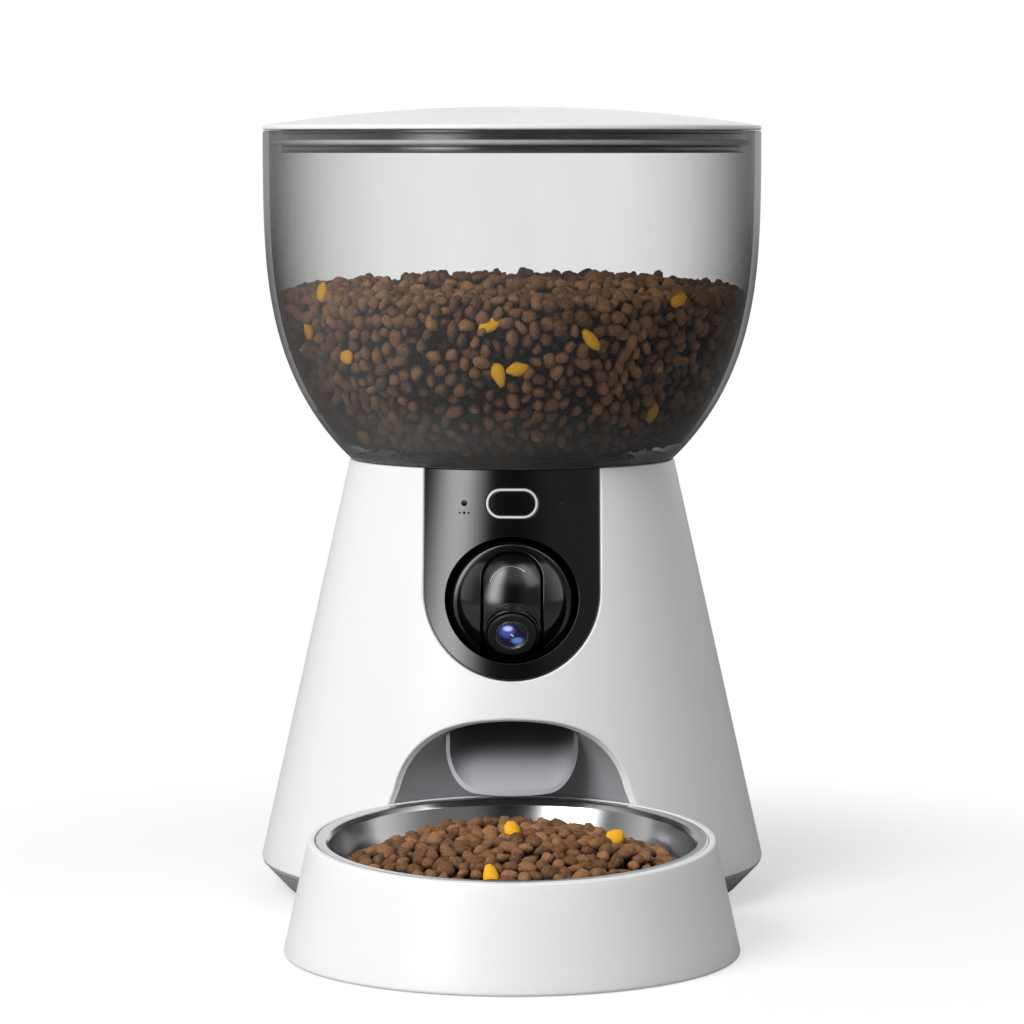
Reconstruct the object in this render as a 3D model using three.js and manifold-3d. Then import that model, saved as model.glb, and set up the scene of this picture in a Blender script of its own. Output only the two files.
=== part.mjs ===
// A gravity pet feeder with a pan and tilt camera, in millimetres, +Z up, front towards -Y.
// One upright axis carries the base, body, dispenser, hopper and lid. The food bowl stands in
// front of it, half inside a recess that is shaped like the bowl's own holder.

import * as THREE from "three";
import { mergeVertices } from "three/addons/utils/BufferGeometryUtils.js";
import loadManifold from "manifold-3d";

const wasm = await loadManifold();
wasm.setup();

// Shared clearances and facets
const touchGap = 0.3; // between pieces that rest on, or sit in, each other
const cutOverrun = 6; // how far a cutting shape runs past what it cuts
const weldDistance = 0.00001; // corners this close are one corner
const shellFacets = 40;
const ringFacets = 20;
const smallFacets = 12;
const screwFacets = 8;
const cornerFacets = 4;

// Body: a straight cone, open below
const footHeight = 1.5;
const bodyFootZ = 12.9;
const bodyHeight = 162;
const bodyFootRadius = 101.8;
const bodyTopRadius = 65.3;
const shellWall = 2.5;
const topFlangeThickness = 2.5;
const topFlangeWidth = 15.3;

// Base: the grey undercut dish that closes the body from below
const baseUndercut = 10.7; // floor's edge inside the body's foot
const baseWall = 2.5;
const baseSpigotHeight = 6;
const baseSpigotWall = 2;
const footRadius = 8;
const footRecessDepth = 1;
const footCircleInset = 13.1; // inside the floor's edge
const footAngles = [-15, 60, 120, 195];
const screwCircleInset = 9.1;
const screwAngles = [8, 38, 142, 172];
const screwShankRadius = 1.5;
const screwHeadRadius = 3.2;
const screwHeadHeight = 1.4;
const screwLength = 14;
const screwColumnRadius = 4.2;
const screwColumnBite = 0.83; // how far a column's top sinks into the wall

// Bowl holder, its steel bowl, and the recess that both stand in
const trayOverhang = 38.2; // holder's axis in front of the body's foot
const trayFloorRadius = 85.7;
const trayRimRadius = 76;
const trayRimZ = 43.1; // at the middle of the tilted rim
const rimTiltDegrees = 3;
const trayWall = 3;
const trayFootEdge = 1.6;
const trayShelfWidth = 4;
const trayShelfThickness = 3;
const trayClearance = 0.5;
const bowlRimRadius = 73.3;
const bowlFlangeWidth = 3.6;
const bowlSheet = 1.2;
const bowlDepth = 31;
const bowlFloorRadius = 46;
const bowlSetback = 0.9; // the tilted rim's middle lies this far in front of the holder's axis
const recessCrownDrop = 13.8; // vault's crown below the face plate
const recessDomeZ = 51.8;
const linerWall = 2;

// Food chute
const chuteSlopeDegrees = 32;
const chuteLipInset = 4.5; // lip plane behind the body's surface
const chuteLipZ = 50.4; // lower edge of the lip, outside
const chuteHalfWidth = 25.6;
const chuteWall = 1.5;
const chuteCornerRadius = 14;
const chuteSectionHeight = 23.5;
const shaftHalfWidth = 22.5;
const shaftInset = 13; // shaft's front inside the drum
const shaftBackY = -11.5;

// Dispenser: drum with a paddle rotor
const drumDepth = 26.2; // drum's floor below the body's top
const drumFloorThickness = 2.3;
const drumInset = 19.3; // inside the body's top
const drumWall = 2.2;
const drumFlangeInset = 4.8;
const housingScrewInset = 5; // inside the flange
const housingScrewAngles = [40, 140, -35, -145];
const housingScrewRadius = 1.4;
const housingScrewHeadRadius = 3;
const housingScrewHeadHeight = 2.5;
const housingScrewLength = 4.8;
const paddleCount = 6;
const paddleThickness = 2.2;
const paddleHeight = 18;
const paddleTipClearance = 0.8;
const rotorHubRadius = 9;
const rotorHubHeight = 20;
const rotorCapHeight = 4.5;
const rotorShaftRadius = 4;
const bushRadius = 6.7;
const bushFlangeRadius = 8.5;
const bushFlangeThickness = 2.2;

// Gear stage and motor
const gearModule = 1;
const wheelTeeth = 20;
const pinionTeeth = 10;
const gearThickness = 6;
const addendumShare = 0.8; // tooth height above and below the pitch circle, in modules
const dedendumShare = 1.1;
const toothTipShare = 0.12; // half widths of a tooth, in tooth spacings
const toothRootShare = 0.3;
const gearHubRadius = 6.6;
const gearHubHeight = 7.1;
const gearPlateDrop = 14.7; // below the drum
const gearPlateThickness = 2.4;
const gearPlateHalfWidth = 22;
const gearPlateFrontY = -9.5;
const gearPlateBackY = 31;
const gearPostRadius = 3.2;
const gearPostInset = 4;
const gearLift = 2.1; // wheel above the plate
const motorShaftRadius = 2.5;
const motorShaftDepth = 4;
const gearboxRadius = 14;
const gearboxHeight = 25.5;
const motorCanRadius = 12.5;
const motorCanHeight = 26;

// Hopper and lid
const hopperRimRadius = 100;
const hopperHeight = 131;
const hopperWall = 2.5;
const hopperMouthGap = 0.8; // mouth outside the drum
const hopperSpigotWall = 2.7;
const hopperSpigotDepth = 2.2;
const hopperFloorRise = 3;
const hopperRiseExponentShare = 3.56;
const hopperSpreadExponentShare = 1.05;
const hopperRings = 7;
const hopperRingSpreadShare = 1.35; // rings lie closer together where the sweep is tight
const lidEdgeHeight = 1.8;
const lidCrown = 7.5;
const lidThickness = 2.2;
const lidLedgeWidth = 10;
const lidRings = 3;
const skirtInset = 7.3; // inside the hopper's rim
const skirtWall = 1.5;
const skirtHeight = 8.8;
const sealHeight = 2;
const sealDrop = 3.7; // seal's top below the skirt's top
const desiccantRadius = 26;
const desiccantWall = 1.5;
const desiccantHeight = 13;
const desiccantCollar = 2;
const desiccantCollarDepth = 7;
const packRadius = 23.6;
const packHeight = 9;

// Face plate with its button, light ring, microphone and status light
const plateHalfWidth = 34.5;
const plateRoundDrop = 47.2; // body's top to where the straight sides end
const plateMargin = 6.5; // below the recess round the camera
const plateThickness = 2.2;
const recessHalfWidth = 26;
const recessHalfHeight = 24.1;
const recessDrop = 49.9; // recess's middle below the body's top
const ringHalfWidth = 10.2;
const ringHalfHeight = 5.8;
const ringStroke = 1.2;
const ringDepth = 1.8;
const buttonDrop = 13.1;
const buttonDepth = 3;
const buttonTravel = 0.8;
const sensorHoleX = 18.6;
const micHoleRadius = 1;
const lightHoleRadius = 0.7;
const buttonBoardHalfWidth = 23;
const buttonBoardHalfHeight = 5;
const buttonBoardThickness = 1.2;
const buttonBoardInset = 5.9; // board's front inside the body's top
const switchSize = 6;
const sensorDepth = 2; // microphone and status light, in front of their board
const micRadius = 3;
const statusLightRadius = 1.5;
const boardPostX = 12.4;
const boardPostRadius = 1.8;

// Camera ball: a pan head that carries a tilting barrel
const ballInset = 5.3; // ball's middle inside the body's top
const ballDrop = 51.6; // ball's middle below the body's top
const ballRadius = 24.4;
const headWall = 1.2;
const headBackY = 13;
const slotHalfWidth = 12;
const slotTopZ = 20.2;
const slotCornerRadius = 10.5;
const cheekThickness = 1.4;
const barrelRadius = 22.8;
const barrelWall = 1.5;
const barrelSideGap = 0.4;
const barrelTopDegrees = 64;
const barrelBottomDegrees = -118;
const lensPitchDegrees = -27;
const lensPodRadius = 10.4;
const lensPodReach = 23.6;
const lensTubeRadius = 8.2;
const lensTubeBack = 9;
const lensTubeReach = 23.4;
const lensTubeBore = 4.4;
const bezelRadius = 9.4;
const bezelBore = 6.3;
const bezelReach = 25;
const glassRadius = 5.9;
const glassReach = 24.8;
const sensorBoardHalfSize = 7;
const sensorBoardThickness = 1.2;
const cupClearance = 1.8;
const cupWall = 1.5;
const motorSeatRadius = 7.6;
const motorSeatTop = 29.3;
const panShaftRadius = 1.5;
const panShaftTop = 29;
const panMotorRadius = 5;
const panMotorTop = 32.2;
const panMotorBottom = 27;
const panMotorFlangeRadius = 6.8;
const panMotorFlangeThickness = 1;
const tiltPinRadius = 2;
const tiltHubRadius = 4.6;
const tiltMotorRadius = 5.5;
const tiltMotorLength = 6.5;
const tiltShaftLength = 4.5;

// Electronics in the base
const boardSideInset = 59.1; // board's sides inside the base floor's edge
const boardBackInset = 15.1;
const boardLength = 50;
const boardThickness = 1.6;
const boardLift = 4;
const boardPillarRadius = 3;
const boardPillarInset = 5;
const inletZ = 26;
const inletBarrelRadius = 5.2;
const inletShoulderRadius = 7.2;
const inletDepth = 14.85; // inlet's inner end behind the body's surface
const inletBore = 3.2;
const inletBoreDepth = 9;
const inletPinRadius = 1.1;
const inletPinSetback = 2.5; // pin's tip behind the body's surface
const speakerInset = 41.1; // speaker's middle inside the base floor's edge
const speakerY = 24;
const speakerRadius = 18;
const speakerMagnetRadius = 10;
const speakerRim = 1.5;
const speakerBasketHeight = 4;
const speakerHeight = 10;
const speakerHoleRadius = 1.2;
const speakerHoleCircle = 8;
const speakerHoleCount = 6;

// Values worked out from the sizes above
const degree = Math.PI / 180;
const quarterTurn = 90 * degree;
const halfTurn = 180 * degree;
const fullTurn = 360 * degree;
const bodyTopZ = bodyFootZ + bodyHeight;
const bodySlope = (bodyFootRadius - bodyTopRadius) / bodyHeight;
const baseFloorRadius = bodyFootRadius - baseUndercut;
const footCircleRadius = baseFloorRadius - footCircleInset;
const screwCircleRadius = baseFloorRadius - screwCircleInset;
const screwColumnInset = shellWall + screwCircleRadius + screwColumnBite;
const screwColumnTopZ = bodyFootZ + (bodyFootRadius - screwColumnInset) / bodySlope;
const trayReach = bodyFootRadius + trayOverhang; // from the body's axis to the holder's
const topFlangeBore = bodyTopRadius - topFlangeWidth;
const rimTilt = rimTiltDegrees * degree;
const trayDraft = (trayFloorRadius - trayRimRadius) / trayRimZ;
const baseFloorZ = footHeight + baseWall;
const baseRimZ = bodyFootZ - touchGap;
const flangeBottomZ = bodyTopZ - topFlangeThickness;
const drumFloorZ = bodyTopZ - drumDepth;
const drumTopZ = flangeBottomZ - touchGap;
const drumRadius = bodyTopRadius - drumInset;
const drumFlangeRadius = bodyTopRadius - drumFlangeInset;
const housingScrewCircle = drumFlangeRadius - housingScrewInset;
const shaftFrontY = shaftInset - drumRadius;
const hopperMouthRadius = drumRadius + hopperMouthGap;
const hopperSpigotRadius = hopperMouthRadius + hopperSpigotWall;
const gearPlateZ = drumFloorZ - gearPlateDrop;
const hopperFootZ = bodyTopZ + touchGap;
const hopperRimZ = hopperFootZ + hopperHeight;
const lidFootZ = hopperRimZ + touchGap;
const skirtTopZ = lidFootZ - touchGap;
const skirtRadius = hopperRimRadius - skirtInset;
const plateRoundZ = bodyTopZ - plateRoundDrop;
const recessZ = bodyTopZ - recessDrop;
const plateRoundHeight = plateRoundZ - recessZ + recessHalfHeight + plateMargin;
const recessDomeRadius = plateRoundZ - plateRoundHeight - recessCrownDrop - recessDomeZ;
const buttonZ = bodyTopZ - buttonDrop;
const buttonBoardY = buttonBoardInset - bodyTopRadius;
const ballY = ballInset - bodyTopRadius;
const ballZ = bodyTopZ - ballDrop;
const wheelRadius = (gearModule * wheelTeeth) / 2;
const pinionRadius = (gearModule * pinionTeeth) / 2;
const pinionY = wheelRadius + pinionRadius;
const lensPitch = lensPitchDegrees * degree;
const boardHalfWidth = baseFloorRadius - boardSideInset;
const boardBackY = baseFloorRadius - boardBackInset;
const boardFrontY = boardBackY - boardLength;
const speakerX = speakerInset - baseFloorRadius;

const bodyRadiusAt = (z) => bodyFootRadius - (z - bodyFootZ) * bodySlope;
const trayRadiusAt = (z) => trayFloorRadius - z * trayDraft;
const inletInnerY = bodyRadiusAt(inletZ) - inletDepth;

// Finishes
const finish = (color, roughness, metalness = 0) => ({ color, roughness, metalness });
const whitePlastic = finish(0xf2f2f2, 0.35);
const greyPlastic = finish(0x77787c, 0.5);
const darkGreyPlastic = finish(0x3c3d40, 0.5);
const blackGloss = finish(0x0c0c0e, 0.12);
const blackPlastic = finish(0x161617, 0.5);
const smokedPlastic = finish(0x6d6a68, 0.3);
const acetal = finish(0xe6e2d6, 0.5);
const rubber = finish(0x2a2a2b, 0.85);
const silicone = finish(0xb9bcc0, 0.7);
const stainless = finish(0xc6c8ca, 0.25, 1);
const steel = finish(0x9fa3a8, 0.35, 1);
const circuitGreen = finish(0x1d5a38, 0.5);
const lensGlass = finish(0x1b2340, 0.05);
const lightPlastic = finish(0xf4f6f8, 0.3);
const sachet = finish(0xd9d5c8, 0.85);

// Solids: three.js geometry in, joined and cut as closed solids
function toSolid(geometry) {
  const bare = geometry.clone();
  bare.deleteAttribute("normal");
  bare.deleteAttribute("uv");
  const merged = mergeVertices(bare, weldDistance);
  const position = merged.attributes.position;
  const source = merged.index.array;
  const corners = [];
  let sixVolumes = 0;
  const a = new THREE.Vector3();
  const b = new THREE.Vector3();
  const c = new THREE.Vector3();
  for (let i = 0; i < source.length; i += 3) {
    const [p, q, r] = [source[i], source[i + 1], source[i + 2]];
    if (p === q || q === r || r === p) continue;
    corners.push(p, q, r);
    a.fromBufferAttribute(position, p);
    b.fromBufferAttribute(position, q);
    c.fromBufferAttribute(position, r);
    sixVolumes += a.dot(b.cross(c));
  }
  if (sixVolumes < 0) corners.reverse();
  const vertProperties = new Float32Array(position.array);
  const triVerts = new Uint32Array(corners);
  return new wasm.Manifold(new wasm.Mesh({ numProp: 3, vertProperties, triVerts }));
}

function join(...solids) {
  return solids.reduce((whole, next) => whole.add(next));
}

function cut(whole, ...tools) {
  return tools.reduce((left, tool) => left.subtract(tool), whole);
}

function common(...solids) {
  return solids.reduce((left, next) => left.intersect(next));
}

function piece(name, solid, look) {
  const { vertProperties, triVerts } = solid.getMesh();
  const geometry = new THREE.BufferGeometry();
  geometry.setAttribute("position", new THREE.BufferAttribute(vertProperties, 3));
  geometry.setIndex(new THREE.BufferAttribute(triVerts, 1));
  geometry.computeVertexNormals();
  const mesh = new THREE.Mesh(geometry, new THREE.MeshStandardMaterial(look));
  mesh.name = name;
  return mesh;
}

// A profile of [radius, height] points turned about Z
function turned(points, facets = ringFacets) {
  const profile = points.map(([radius, height]) => new THREE.Vector2(radius, height));
  return toSolid(new THREE.LatheGeometry(profile, facets).rotateX(quarterTurn));
}

// A plain disc or rod about Z, from one height to another
function disc(radius, lowZ, highZ, facets = ringFacets, x = 0, y = 0) {
  const geometry = new THREE.CylinderGeometry(radius, radius, highZ - lowZ, facets);
  geometry.rotateX(quarterTurn);
  return toSolid(geometry.translate(x, y, (lowZ + highZ) / 2));
}

// A rod along X or Y between two places
function rodX(radius, fromX, toX, y = 0, z = 0, facets = smallFacets) {
  const geometry = new THREE.CylinderGeometry(radius, radius, toX - fromX, facets);
  geometry.rotateZ(quarterTurn);
  return toSolid(geometry.translate((fromX + toX) / 2, y, z));
}

function rodY(radius, fromY, toY, x = 0, z = 0, facets = smallFacets) {
  const geometry = new THREE.CylinderGeometry(radius, radius, toY - fromY, facets);
  return toSolid(geometry.translate(x, (fromY + toY) / 2, z));
}

function block([lowX, highX], [lowY, highY], [lowZ, highZ]) {
  const geometry = new THREE.BoxGeometry(highX - lowX, highY - lowY, highZ - lowZ);
  return toSolid(geometry.translate((lowX + highX) / 2, (lowY + highY) / 2, (lowZ + highZ) / 2));
}

function ball(radius, facets = ringFacets) {
  return toSolid(new THREE.SphereGeometry(radius, facets, facets / 2).rotateX(quarterTurn));
}

// A flat outline drawn in X and Z, pushed along Y from one place to another
function pushedAlongY(shape, fromY, toY, facets = cornerFacets) {
  const options = { depth: toY - fromY, bevelEnabled: false, curveSegments: facets };
  const geometry = new THREE.ExtrudeGeometry(shape, options);
  return toSolid(geometry.rotateX(quarterTurn).translate(0, toY, 0));
}

function onCircle(radius, angleDegrees) {
  return [radius * Math.cos(angleDegrees * degree), radius * Math.sin(angleDegrees * degree)];
}

// The body's cone, drawn in by an inset, between two heights
function bodyCone(inset, lowZ = bodyFootZ, highZ = bodyTopZ) {
  return turned(
    [
      [0, lowZ],
      [bodyRadiusAt(lowZ) - inset, lowZ],
      [bodyRadiusAt(highZ) - inset, highZ],
      [0, highZ],
    ],
    shellFacets,
  );
}

// The space that the bowl holder stands in: its own cone below, a rounded vault above
function recessSpace(grow) {
  const wallRadius = (z) => trayRadiusAt(z) + trayClearance + grow;
  const vaultMiddle = trayRadiusAt(recessDomeZ) + trayClearance - recessDomeRadius;
  const steps = 2 * cornerFacets;
  const points = [
    [0, -cutOverrun],
    [wallRadius(-cutOverrun), -cutOverrun],
  ];
  for (let i = 0; i <= steps; i += 1) {
    const angle = (quarterTurn * i) / steps;
    const radius = recessDomeRadius + grow;
    points.push([vaultMiddle + radius * Math.cos(angle), recessDomeZ + radius * Math.sin(angle)]);
  }
  points.push([0, recessDomeZ + recessDomeRadius + grow]);
  return turned(points, shellFacets).translate([0, -trayReach, 0]);
}

// Outline of the face plate, drawn in or out by a margin
function plateOutline(margin) {
  const halfWidth = plateHalfWidth + margin;
  const topZ = bodyTopZ + cutOverrun;
  const shape = new THREE.Shape();
  shape.moveTo(-halfWidth, topZ);
  shape.lineTo(-halfWidth, plateRoundZ);
  shape.absellipse(0, plateRoundZ, halfWidth, plateRoundHeight + margin, halfTurn, fullTurn);
  shape.lineTo(halfWidth, topZ);
  shape.closePath();
  return shape;
}

function plateBlock(margin) {
  return pushedAlongY(plateOutline(margin), -bodyFootRadius, -cutOverrun, smallFacets);
}

// A pill outline round the button's place, drawn in by a margin
function pillBlock(margin) {
  const radius = ringHalfHeight - margin;
  const straight = ringHalfWidth - ringHalfHeight;
  const shape = new THREE.Shape();
  shape.absarc(straight, buttonZ, radius, -quarterTurn, quarterTurn);
  shape.absarc(-straight, buttonZ, radius, quarterTurn, 3 * quarterTurn);
  shape.closePath();
  return pushedAlongY(shape, -bodyFootRadius, -cutOverrun, 2 * cornerFacets);
}

// A skin that follows the body's cone between two insets
function bodySkin(outerInset, innerInset) {
  const low = bodyFootZ - cutOverrun;
  return cut(bodyCone(outerInset, low), bodyCone(innerInset, low - cutOverrun, bodyTopZ + cutOverrun));
}

// Base and body
function baseTray() {
  const outer = turned(
    [
      [0, footHeight],
      [baseFloorRadius, footHeight],
      [bodyFootRadius, baseRimZ],
      [0, baseRimZ],
    ],
    shellFacets,
  );
  const hollow = turned(
    [
      [0, baseFloorZ],
      [baseFloorRadius - baseWall, baseFloorZ],
      [bodyFootRadius - 2 * baseWall, baseRimZ],
      [bodyFootRadius - 2 * baseWall, baseRimZ + cutOverrun],
      [0, baseRimZ + cutOverrun],
    ],
    shellFacets,
  );
  const spigotInset = shellWall + touchGap;
  const spigotTopZ = baseRimZ + baseSpigotHeight;
  const spigotFootZ = baseRimZ - baseWall;
  const spigotOutside = bodyCone(spigotInset, spigotFootZ, spigotTopZ);
  const spigotInside = bodyCone(
    spigotInset + baseSpigotWall,
    spigotFootZ - cutOverrun,
    spigotTopZ + cutOverrun,
  );
  const spigot = cut(spigotOutside, spigotInside);
  const around = join(outer, spigotOutside);
  const notchWall = common(cut(recessSpace(baseWall), recessSpace(0)), around);
  const dish = cut(join(cut(outer, hollow), spigot), recessSpace(baseWall / 2));
  let tray = join(dish, notchWall);
  for (const angle of footAngles) {
    const [x, y] = onCircle(footCircleRadius, angle);
    const pocketTop = footHeight + footRecessDepth;
    tray = cut(tray, disc(footRadius + touchGap, -cutOverrun, pocketTop, smallFacets, x, y));
  }
  for (const angle of screwAngles) {
    const [x, y] = onCircle(screwCircleRadius, angle);
    const seatZ = footHeight + screwHeadHeight;
    tray = cut(
      tray,
      disc(screwHeadRadius + touchGap, -cutOverrun, seatZ, screwFacets, x, y),
      disc(screwShankRadius + touchGap, 0, baseFloorZ + cutOverrun, screwFacets, x, y),
    );
  }
  const pillarFootZ = baseFloorZ - baseWall / 2;
  for (const [x, y] of boardCorners()) {
    tray = join(tray, disc(boardPillarRadius, pillarFootZ, baseFloorZ + boardLift, smallFacets, x, y));
  }
  for (let i = 0; i < speakerHoleCount; i += 1) {
    const [dx, dy] = onCircle(speakerHoleCircle, (360 * i) / speakerHoleCount);
    const [x, y] = [speakerX + dx, speakerY + dy];
    tray = cut(tray, disc(speakerHoleRadius, 0, baseFloorZ + cutOverrun, screwFacets, x, y));
  }
  return piece("base_tray", tray, greyPlastic);
}

function boardCorners() {
  const x = boardHalfWidth - boardPillarInset;
  const front = boardFrontY + boardPillarInset;
  const back = boardBackY - boardPillarInset;
  return [
    [-x, front],
    [x, front],
    [-x, back],
    [x, back],
  ];
}

function bodyShell() {
  const outer = bodyCone(0);
  const hollow = bodyCone(shellWall, bodyFootZ - cutOverrun, flangeBottomZ);
  const bore = disc(topFlangeBore, flangeBottomZ - cutOverrun, bodyTopZ + cutOverrun, shellFacets);
  let shell = cut(outer, hollow, bore);
  for (const angle of screwAngles) {
    const [x, y] = onCircle(screwCircleRadius, angle);
    const column = disc(screwColumnRadius, bodyFootZ, screwColumnTopZ, smallFacets, x, y);
    const columnFootTop = bodyFootZ + shellWall;
    const columnFoot = disc(screwColumnRadius, baseFloorZ + touchGap, columnFootTop, smallFacets, x, y);
    const boreTop = baseFloorZ + screwLength;
    const pilot = disc(screwShankRadius + touchGap, 0, boreTop, screwFacets, x, y);
    shell = cut(join(shell, common(column, outer), columnFoot), pilot);
  }
  for (const angle of housingScrewAngles) {
    const [x, y] = onCircle(housingScrewCircle, angle);
    const radius = housingScrewRadius + touchGap;
    shell = cut(shell, disc(radius, flangeBottomZ - cutOverrun, bodyTopZ + cutOverrun, screwFacets, x, y));
  }
  const behindPlate = bodyCone(shellWall + touchGap, bodyFootZ - cutOverrun, bodyTopZ + 2 * cutOverrun);
  const plateSkin = cut(plateBlock(0), behindPlate);
  const inletHole = rodY(inletBarrelRadius + touchGap, inletInnerY, bodyFootRadius + cutOverrun, 0, inletZ);
  return piece("body_shell", cut(shell, recessSpace(0), plateSkin, inletHole), whitePlastic);
}

function recessLiner() {
  const lowZ = baseRimZ + baseSpigotHeight + touchGap;
  const inside = bodyCone(shellWall + touchGap, lowZ, flangeBottomZ);
  const wall = cut(recessSpace(linerWall), recessSpace(0));
  return piece("recess_liner", cut(common(wall, inside), chuteOutside(touchGap)), greyPlastic);
}

// The chute's outer form, grown by a margin; a negative margin gives its bore
function chuteOutside(margin) {
  const halfWidth = chuteHalfWidth + margin;
  const cornerRadius = chuteCornerRadius + margin;
  const lowEdge = -margin;
  const highEdge = chuteSectionHeight + margin;
  const section = new THREE.Shape();
  section.moveTo(-halfWidth, highEdge);
  section.lineTo(-halfWidth, lowEdge + cornerRadius);
  const cornerX = halfWidth - cornerRadius;
  const cornerZ = lowEdge + cornerRadius;
  section.absarc(-cornerX, cornerZ, cornerRadius, halfTurn, 3 * quarterTurn);
  section.absarc(cornerX, cornerZ, cornerRadius, 3 * quarterTurn, fullTurn);
  section.lineTo(halfWidth, highEdge);
  section.closePath();
  const slope = chuteSlopeDegrees * degree;
  const lipY = chuteLipInset - bodyRadiusAt(chuteLipZ);
  const length = 2 * bodyFootRadius;
  const options = { depth: length + chuteLipInset, bevelEnabled: false, curveSegments: cornerFacets };
  const slide = new THREE.ExtrudeGeometry(section, options);
  slide.rotateX(quarterTurn).translate(0, length, 0);
  slide.rotateX(slope).translate(0, lipY, chuteLipZ);
  const backY = shaftBackY + margin;
  const frontLimit = block(
    [-bodyFootRadius, bodyFootRadius],
    [-bodyFootRadius, backY],
    [-bodyFootRadius, drumFloorZ],
  );
  const shaftX = shaftHalfWidth + margin;
  const lowZ = chuteLipZ + (shaftFrontY - lipY) * Math.tan(slope);
  const shaft = block([-shaftX, shaftX], [shaftFrontY - margin, backY], [lowZ, drumFloorZ]);
  const slideCut = common(toSolid(slide), frontLimit);
  const cameraRoom = ballRadius + cupClearance + cupWall + touchGap - margin;
  return cut(join(slideCut, shaftAboveSlide(shaft, margin)), cameraSpace(cameraRoom));
}

// Only the part of the drop shaft that stands on the slide's own floor
function shaftAboveSlide(shaft, margin) {
  const slope = chuteSlopeDegrees * degree;
  const lipY = chuteLipInset - bodyRadiusAt(chuteLipZ);
  const reach = 2 * bodyFootRadius;
  const above = new THREE.BoxGeometry(reach, reach, reach).translate(0, 0, reach / 2 - margin);
  return common(shaft, toSolid(above.rotateX(slope).translate(0, lipY, chuteLipZ)));
}

// The room that the camera takes: a ball, and a round way forward from it
function cameraSpace(radius) {
  const wayOut = rodY(radius, -bodyFootRadius, 0, 0, 0, ringFacets);
  return join(ball(radius), wayOut).translate([0, ballY, ballZ]);
}

function chute() {
  const outside = common(chuteOutside(0), bodyCone(chuteLipInset, 0));
  const top = block(
    [-bodyFootRadius, bodyFootRadius],
    [-bodyFootRadius, bodyFootRadius],
    [0, drumFloorZ - touchGap],
  );
  return piece("chute", cut(common(outside, top), chuteOutside(-chuteWall)), greyPlastic);
}

// Dispenser and its drive
function dispenserHousing() {
  const profile = [
    [0, drumFloorZ],
    [drumRadius + drumWall, drumFloorZ],
    [drumRadius + drumWall, drumTopZ - topFlangeThickness],
    [drumFlangeRadius, drumTopZ - topFlangeThickness],
    [drumFlangeRadius, drumTopZ],
    [drumRadius, drumTopZ],
    [drumRadius, drumFloorZ + drumFloorThickness],
    [0, drumFloorZ + drumFloorThickness],
  ];
  const topZ = drumFloorZ + drumFloorThickness + cutOverrun;
  const outletX = shaftHalfWidth - chuteWall;
  const outlet = block(
    [-outletX, outletX],
    [shaftFrontY + chuteWall, shaftBackY - chuteWall],
    [drumFloorZ - cutOverrun, topZ],
  );
  let housing = cut(
    turned(profile, shellFacets),
    outlet,
    disc(bushRadius + touchGap, drumFloorZ - cutOverrun, topZ, smallFacets),
  );
  for (const angle of housingScrewAngles) {
    const [x, y] = onCircle(housingScrewCircle, angle);
    const radius = housingScrewRadius + touchGap;
    housing = cut(housing, disc(radius, drumFloorZ, drumTopZ + cutOverrun, screwFacets, x, y));
  }
  return piece("dispenser_housing", housing, darkGreyPlastic);
}

function portionRotor() {
  const footZ = drumFloorZ + drumFloorThickness + touchGap;
  const hubTopZ = footZ + rotorHubHeight;
  let rotor = turned(
    [
      [0, footZ],
      [rotorHubRadius, footZ],
      [rotorHubRadius, hubTopZ],
      [rotorShaftRadius, hubTopZ + rotorCapHeight],
      [0, hubTopZ + rotorCapHeight],
    ],
    smallFacets,
  );
  for (let i = 0; i < paddleCount; i += 1) {
    const paddle = new THREE.BoxGeometry(drumRadius - paddleTipClearance, paddleThickness, paddleHeight);
    paddle.translate((drumRadius - paddleTipClearance) / 2, 0, footZ + paddleHeight / 2);
    rotor = join(rotor, toSolid(paddle.rotateZ((fullTurn * i) / paddleCount)));
  }
  const bore = disc(rotorShaftRadius + touchGap, footZ - cutOverrun, hubTopZ, smallFacets);
  return piece("portion_rotor", cut(rotor, bore), silicone);
}

function rotorShaft() {
  const hubTopZ = drumFloorZ + drumFloorThickness + touchGap + rotorHubHeight;
  const topZ = hubTopZ - touchGap;
  return piece("rotor_shaft", disc(rotorShaftRadius, gearPlateZ, topZ, smallFacets), steel);
}

function shaftBush() {
  const flangeTopZ = drumFloorZ - touchGap;
  const profile = [
    [rotorShaftRadius + touchGap, flangeTopZ - bushFlangeThickness],
    [bushFlangeRadius, flangeTopZ - bushFlangeThickness],
    [bushFlangeRadius, flangeTopZ],
    [bushRadius, flangeTopZ],
    [bushRadius, drumFloorZ + drumFloorThickness],
    [rotorShaftRadius + touchGap, drumFloorZ + drumFloorThickness],
    [rotorShaftRadius + touchGap, flangeTopZ - bushFlangeThickness],
  ];
  return piece("shaft_bush", turned(profile, smallFacets), acetal);
}

// A spur gear with straight-sided stub teeth, a tooth or a space on the +Y side
function gearOutline(teeth, startsWithSpace) {
  const pitchRadius = (gearModule * teeth) / 2;
  const tipRadius = pitchRadius + addendumShare * gearModule;
  const rootRadius = pitchRadius - dedendumShare * gearModule;
  const pitchAngle = 360 / teeth;
  const firstTooth = startsWithSpace ? 90 + pitchAngle / 2 : 90;
  const corners = [];
  for (let i = 0; i < teeth; i += 1) {
    const middle = firstTooth + pitchAngle * i;
    corners.push(
      onCircle(rootRadius, middle - toothRootShare * pitchAngle),
      onCircle(tipRadius, middle - toothTipShare * pitchAngle),
      onCircle(tipRadius, middle + toothTipShare * pitchAngle),
      onCircle(rootRadius, middle + toothRootShare * pitchAngle),
    );
  }
  return new THREE.Shape(corners.map(([x, y]) => new THREE.Vector2(x, y)));
}

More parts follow.
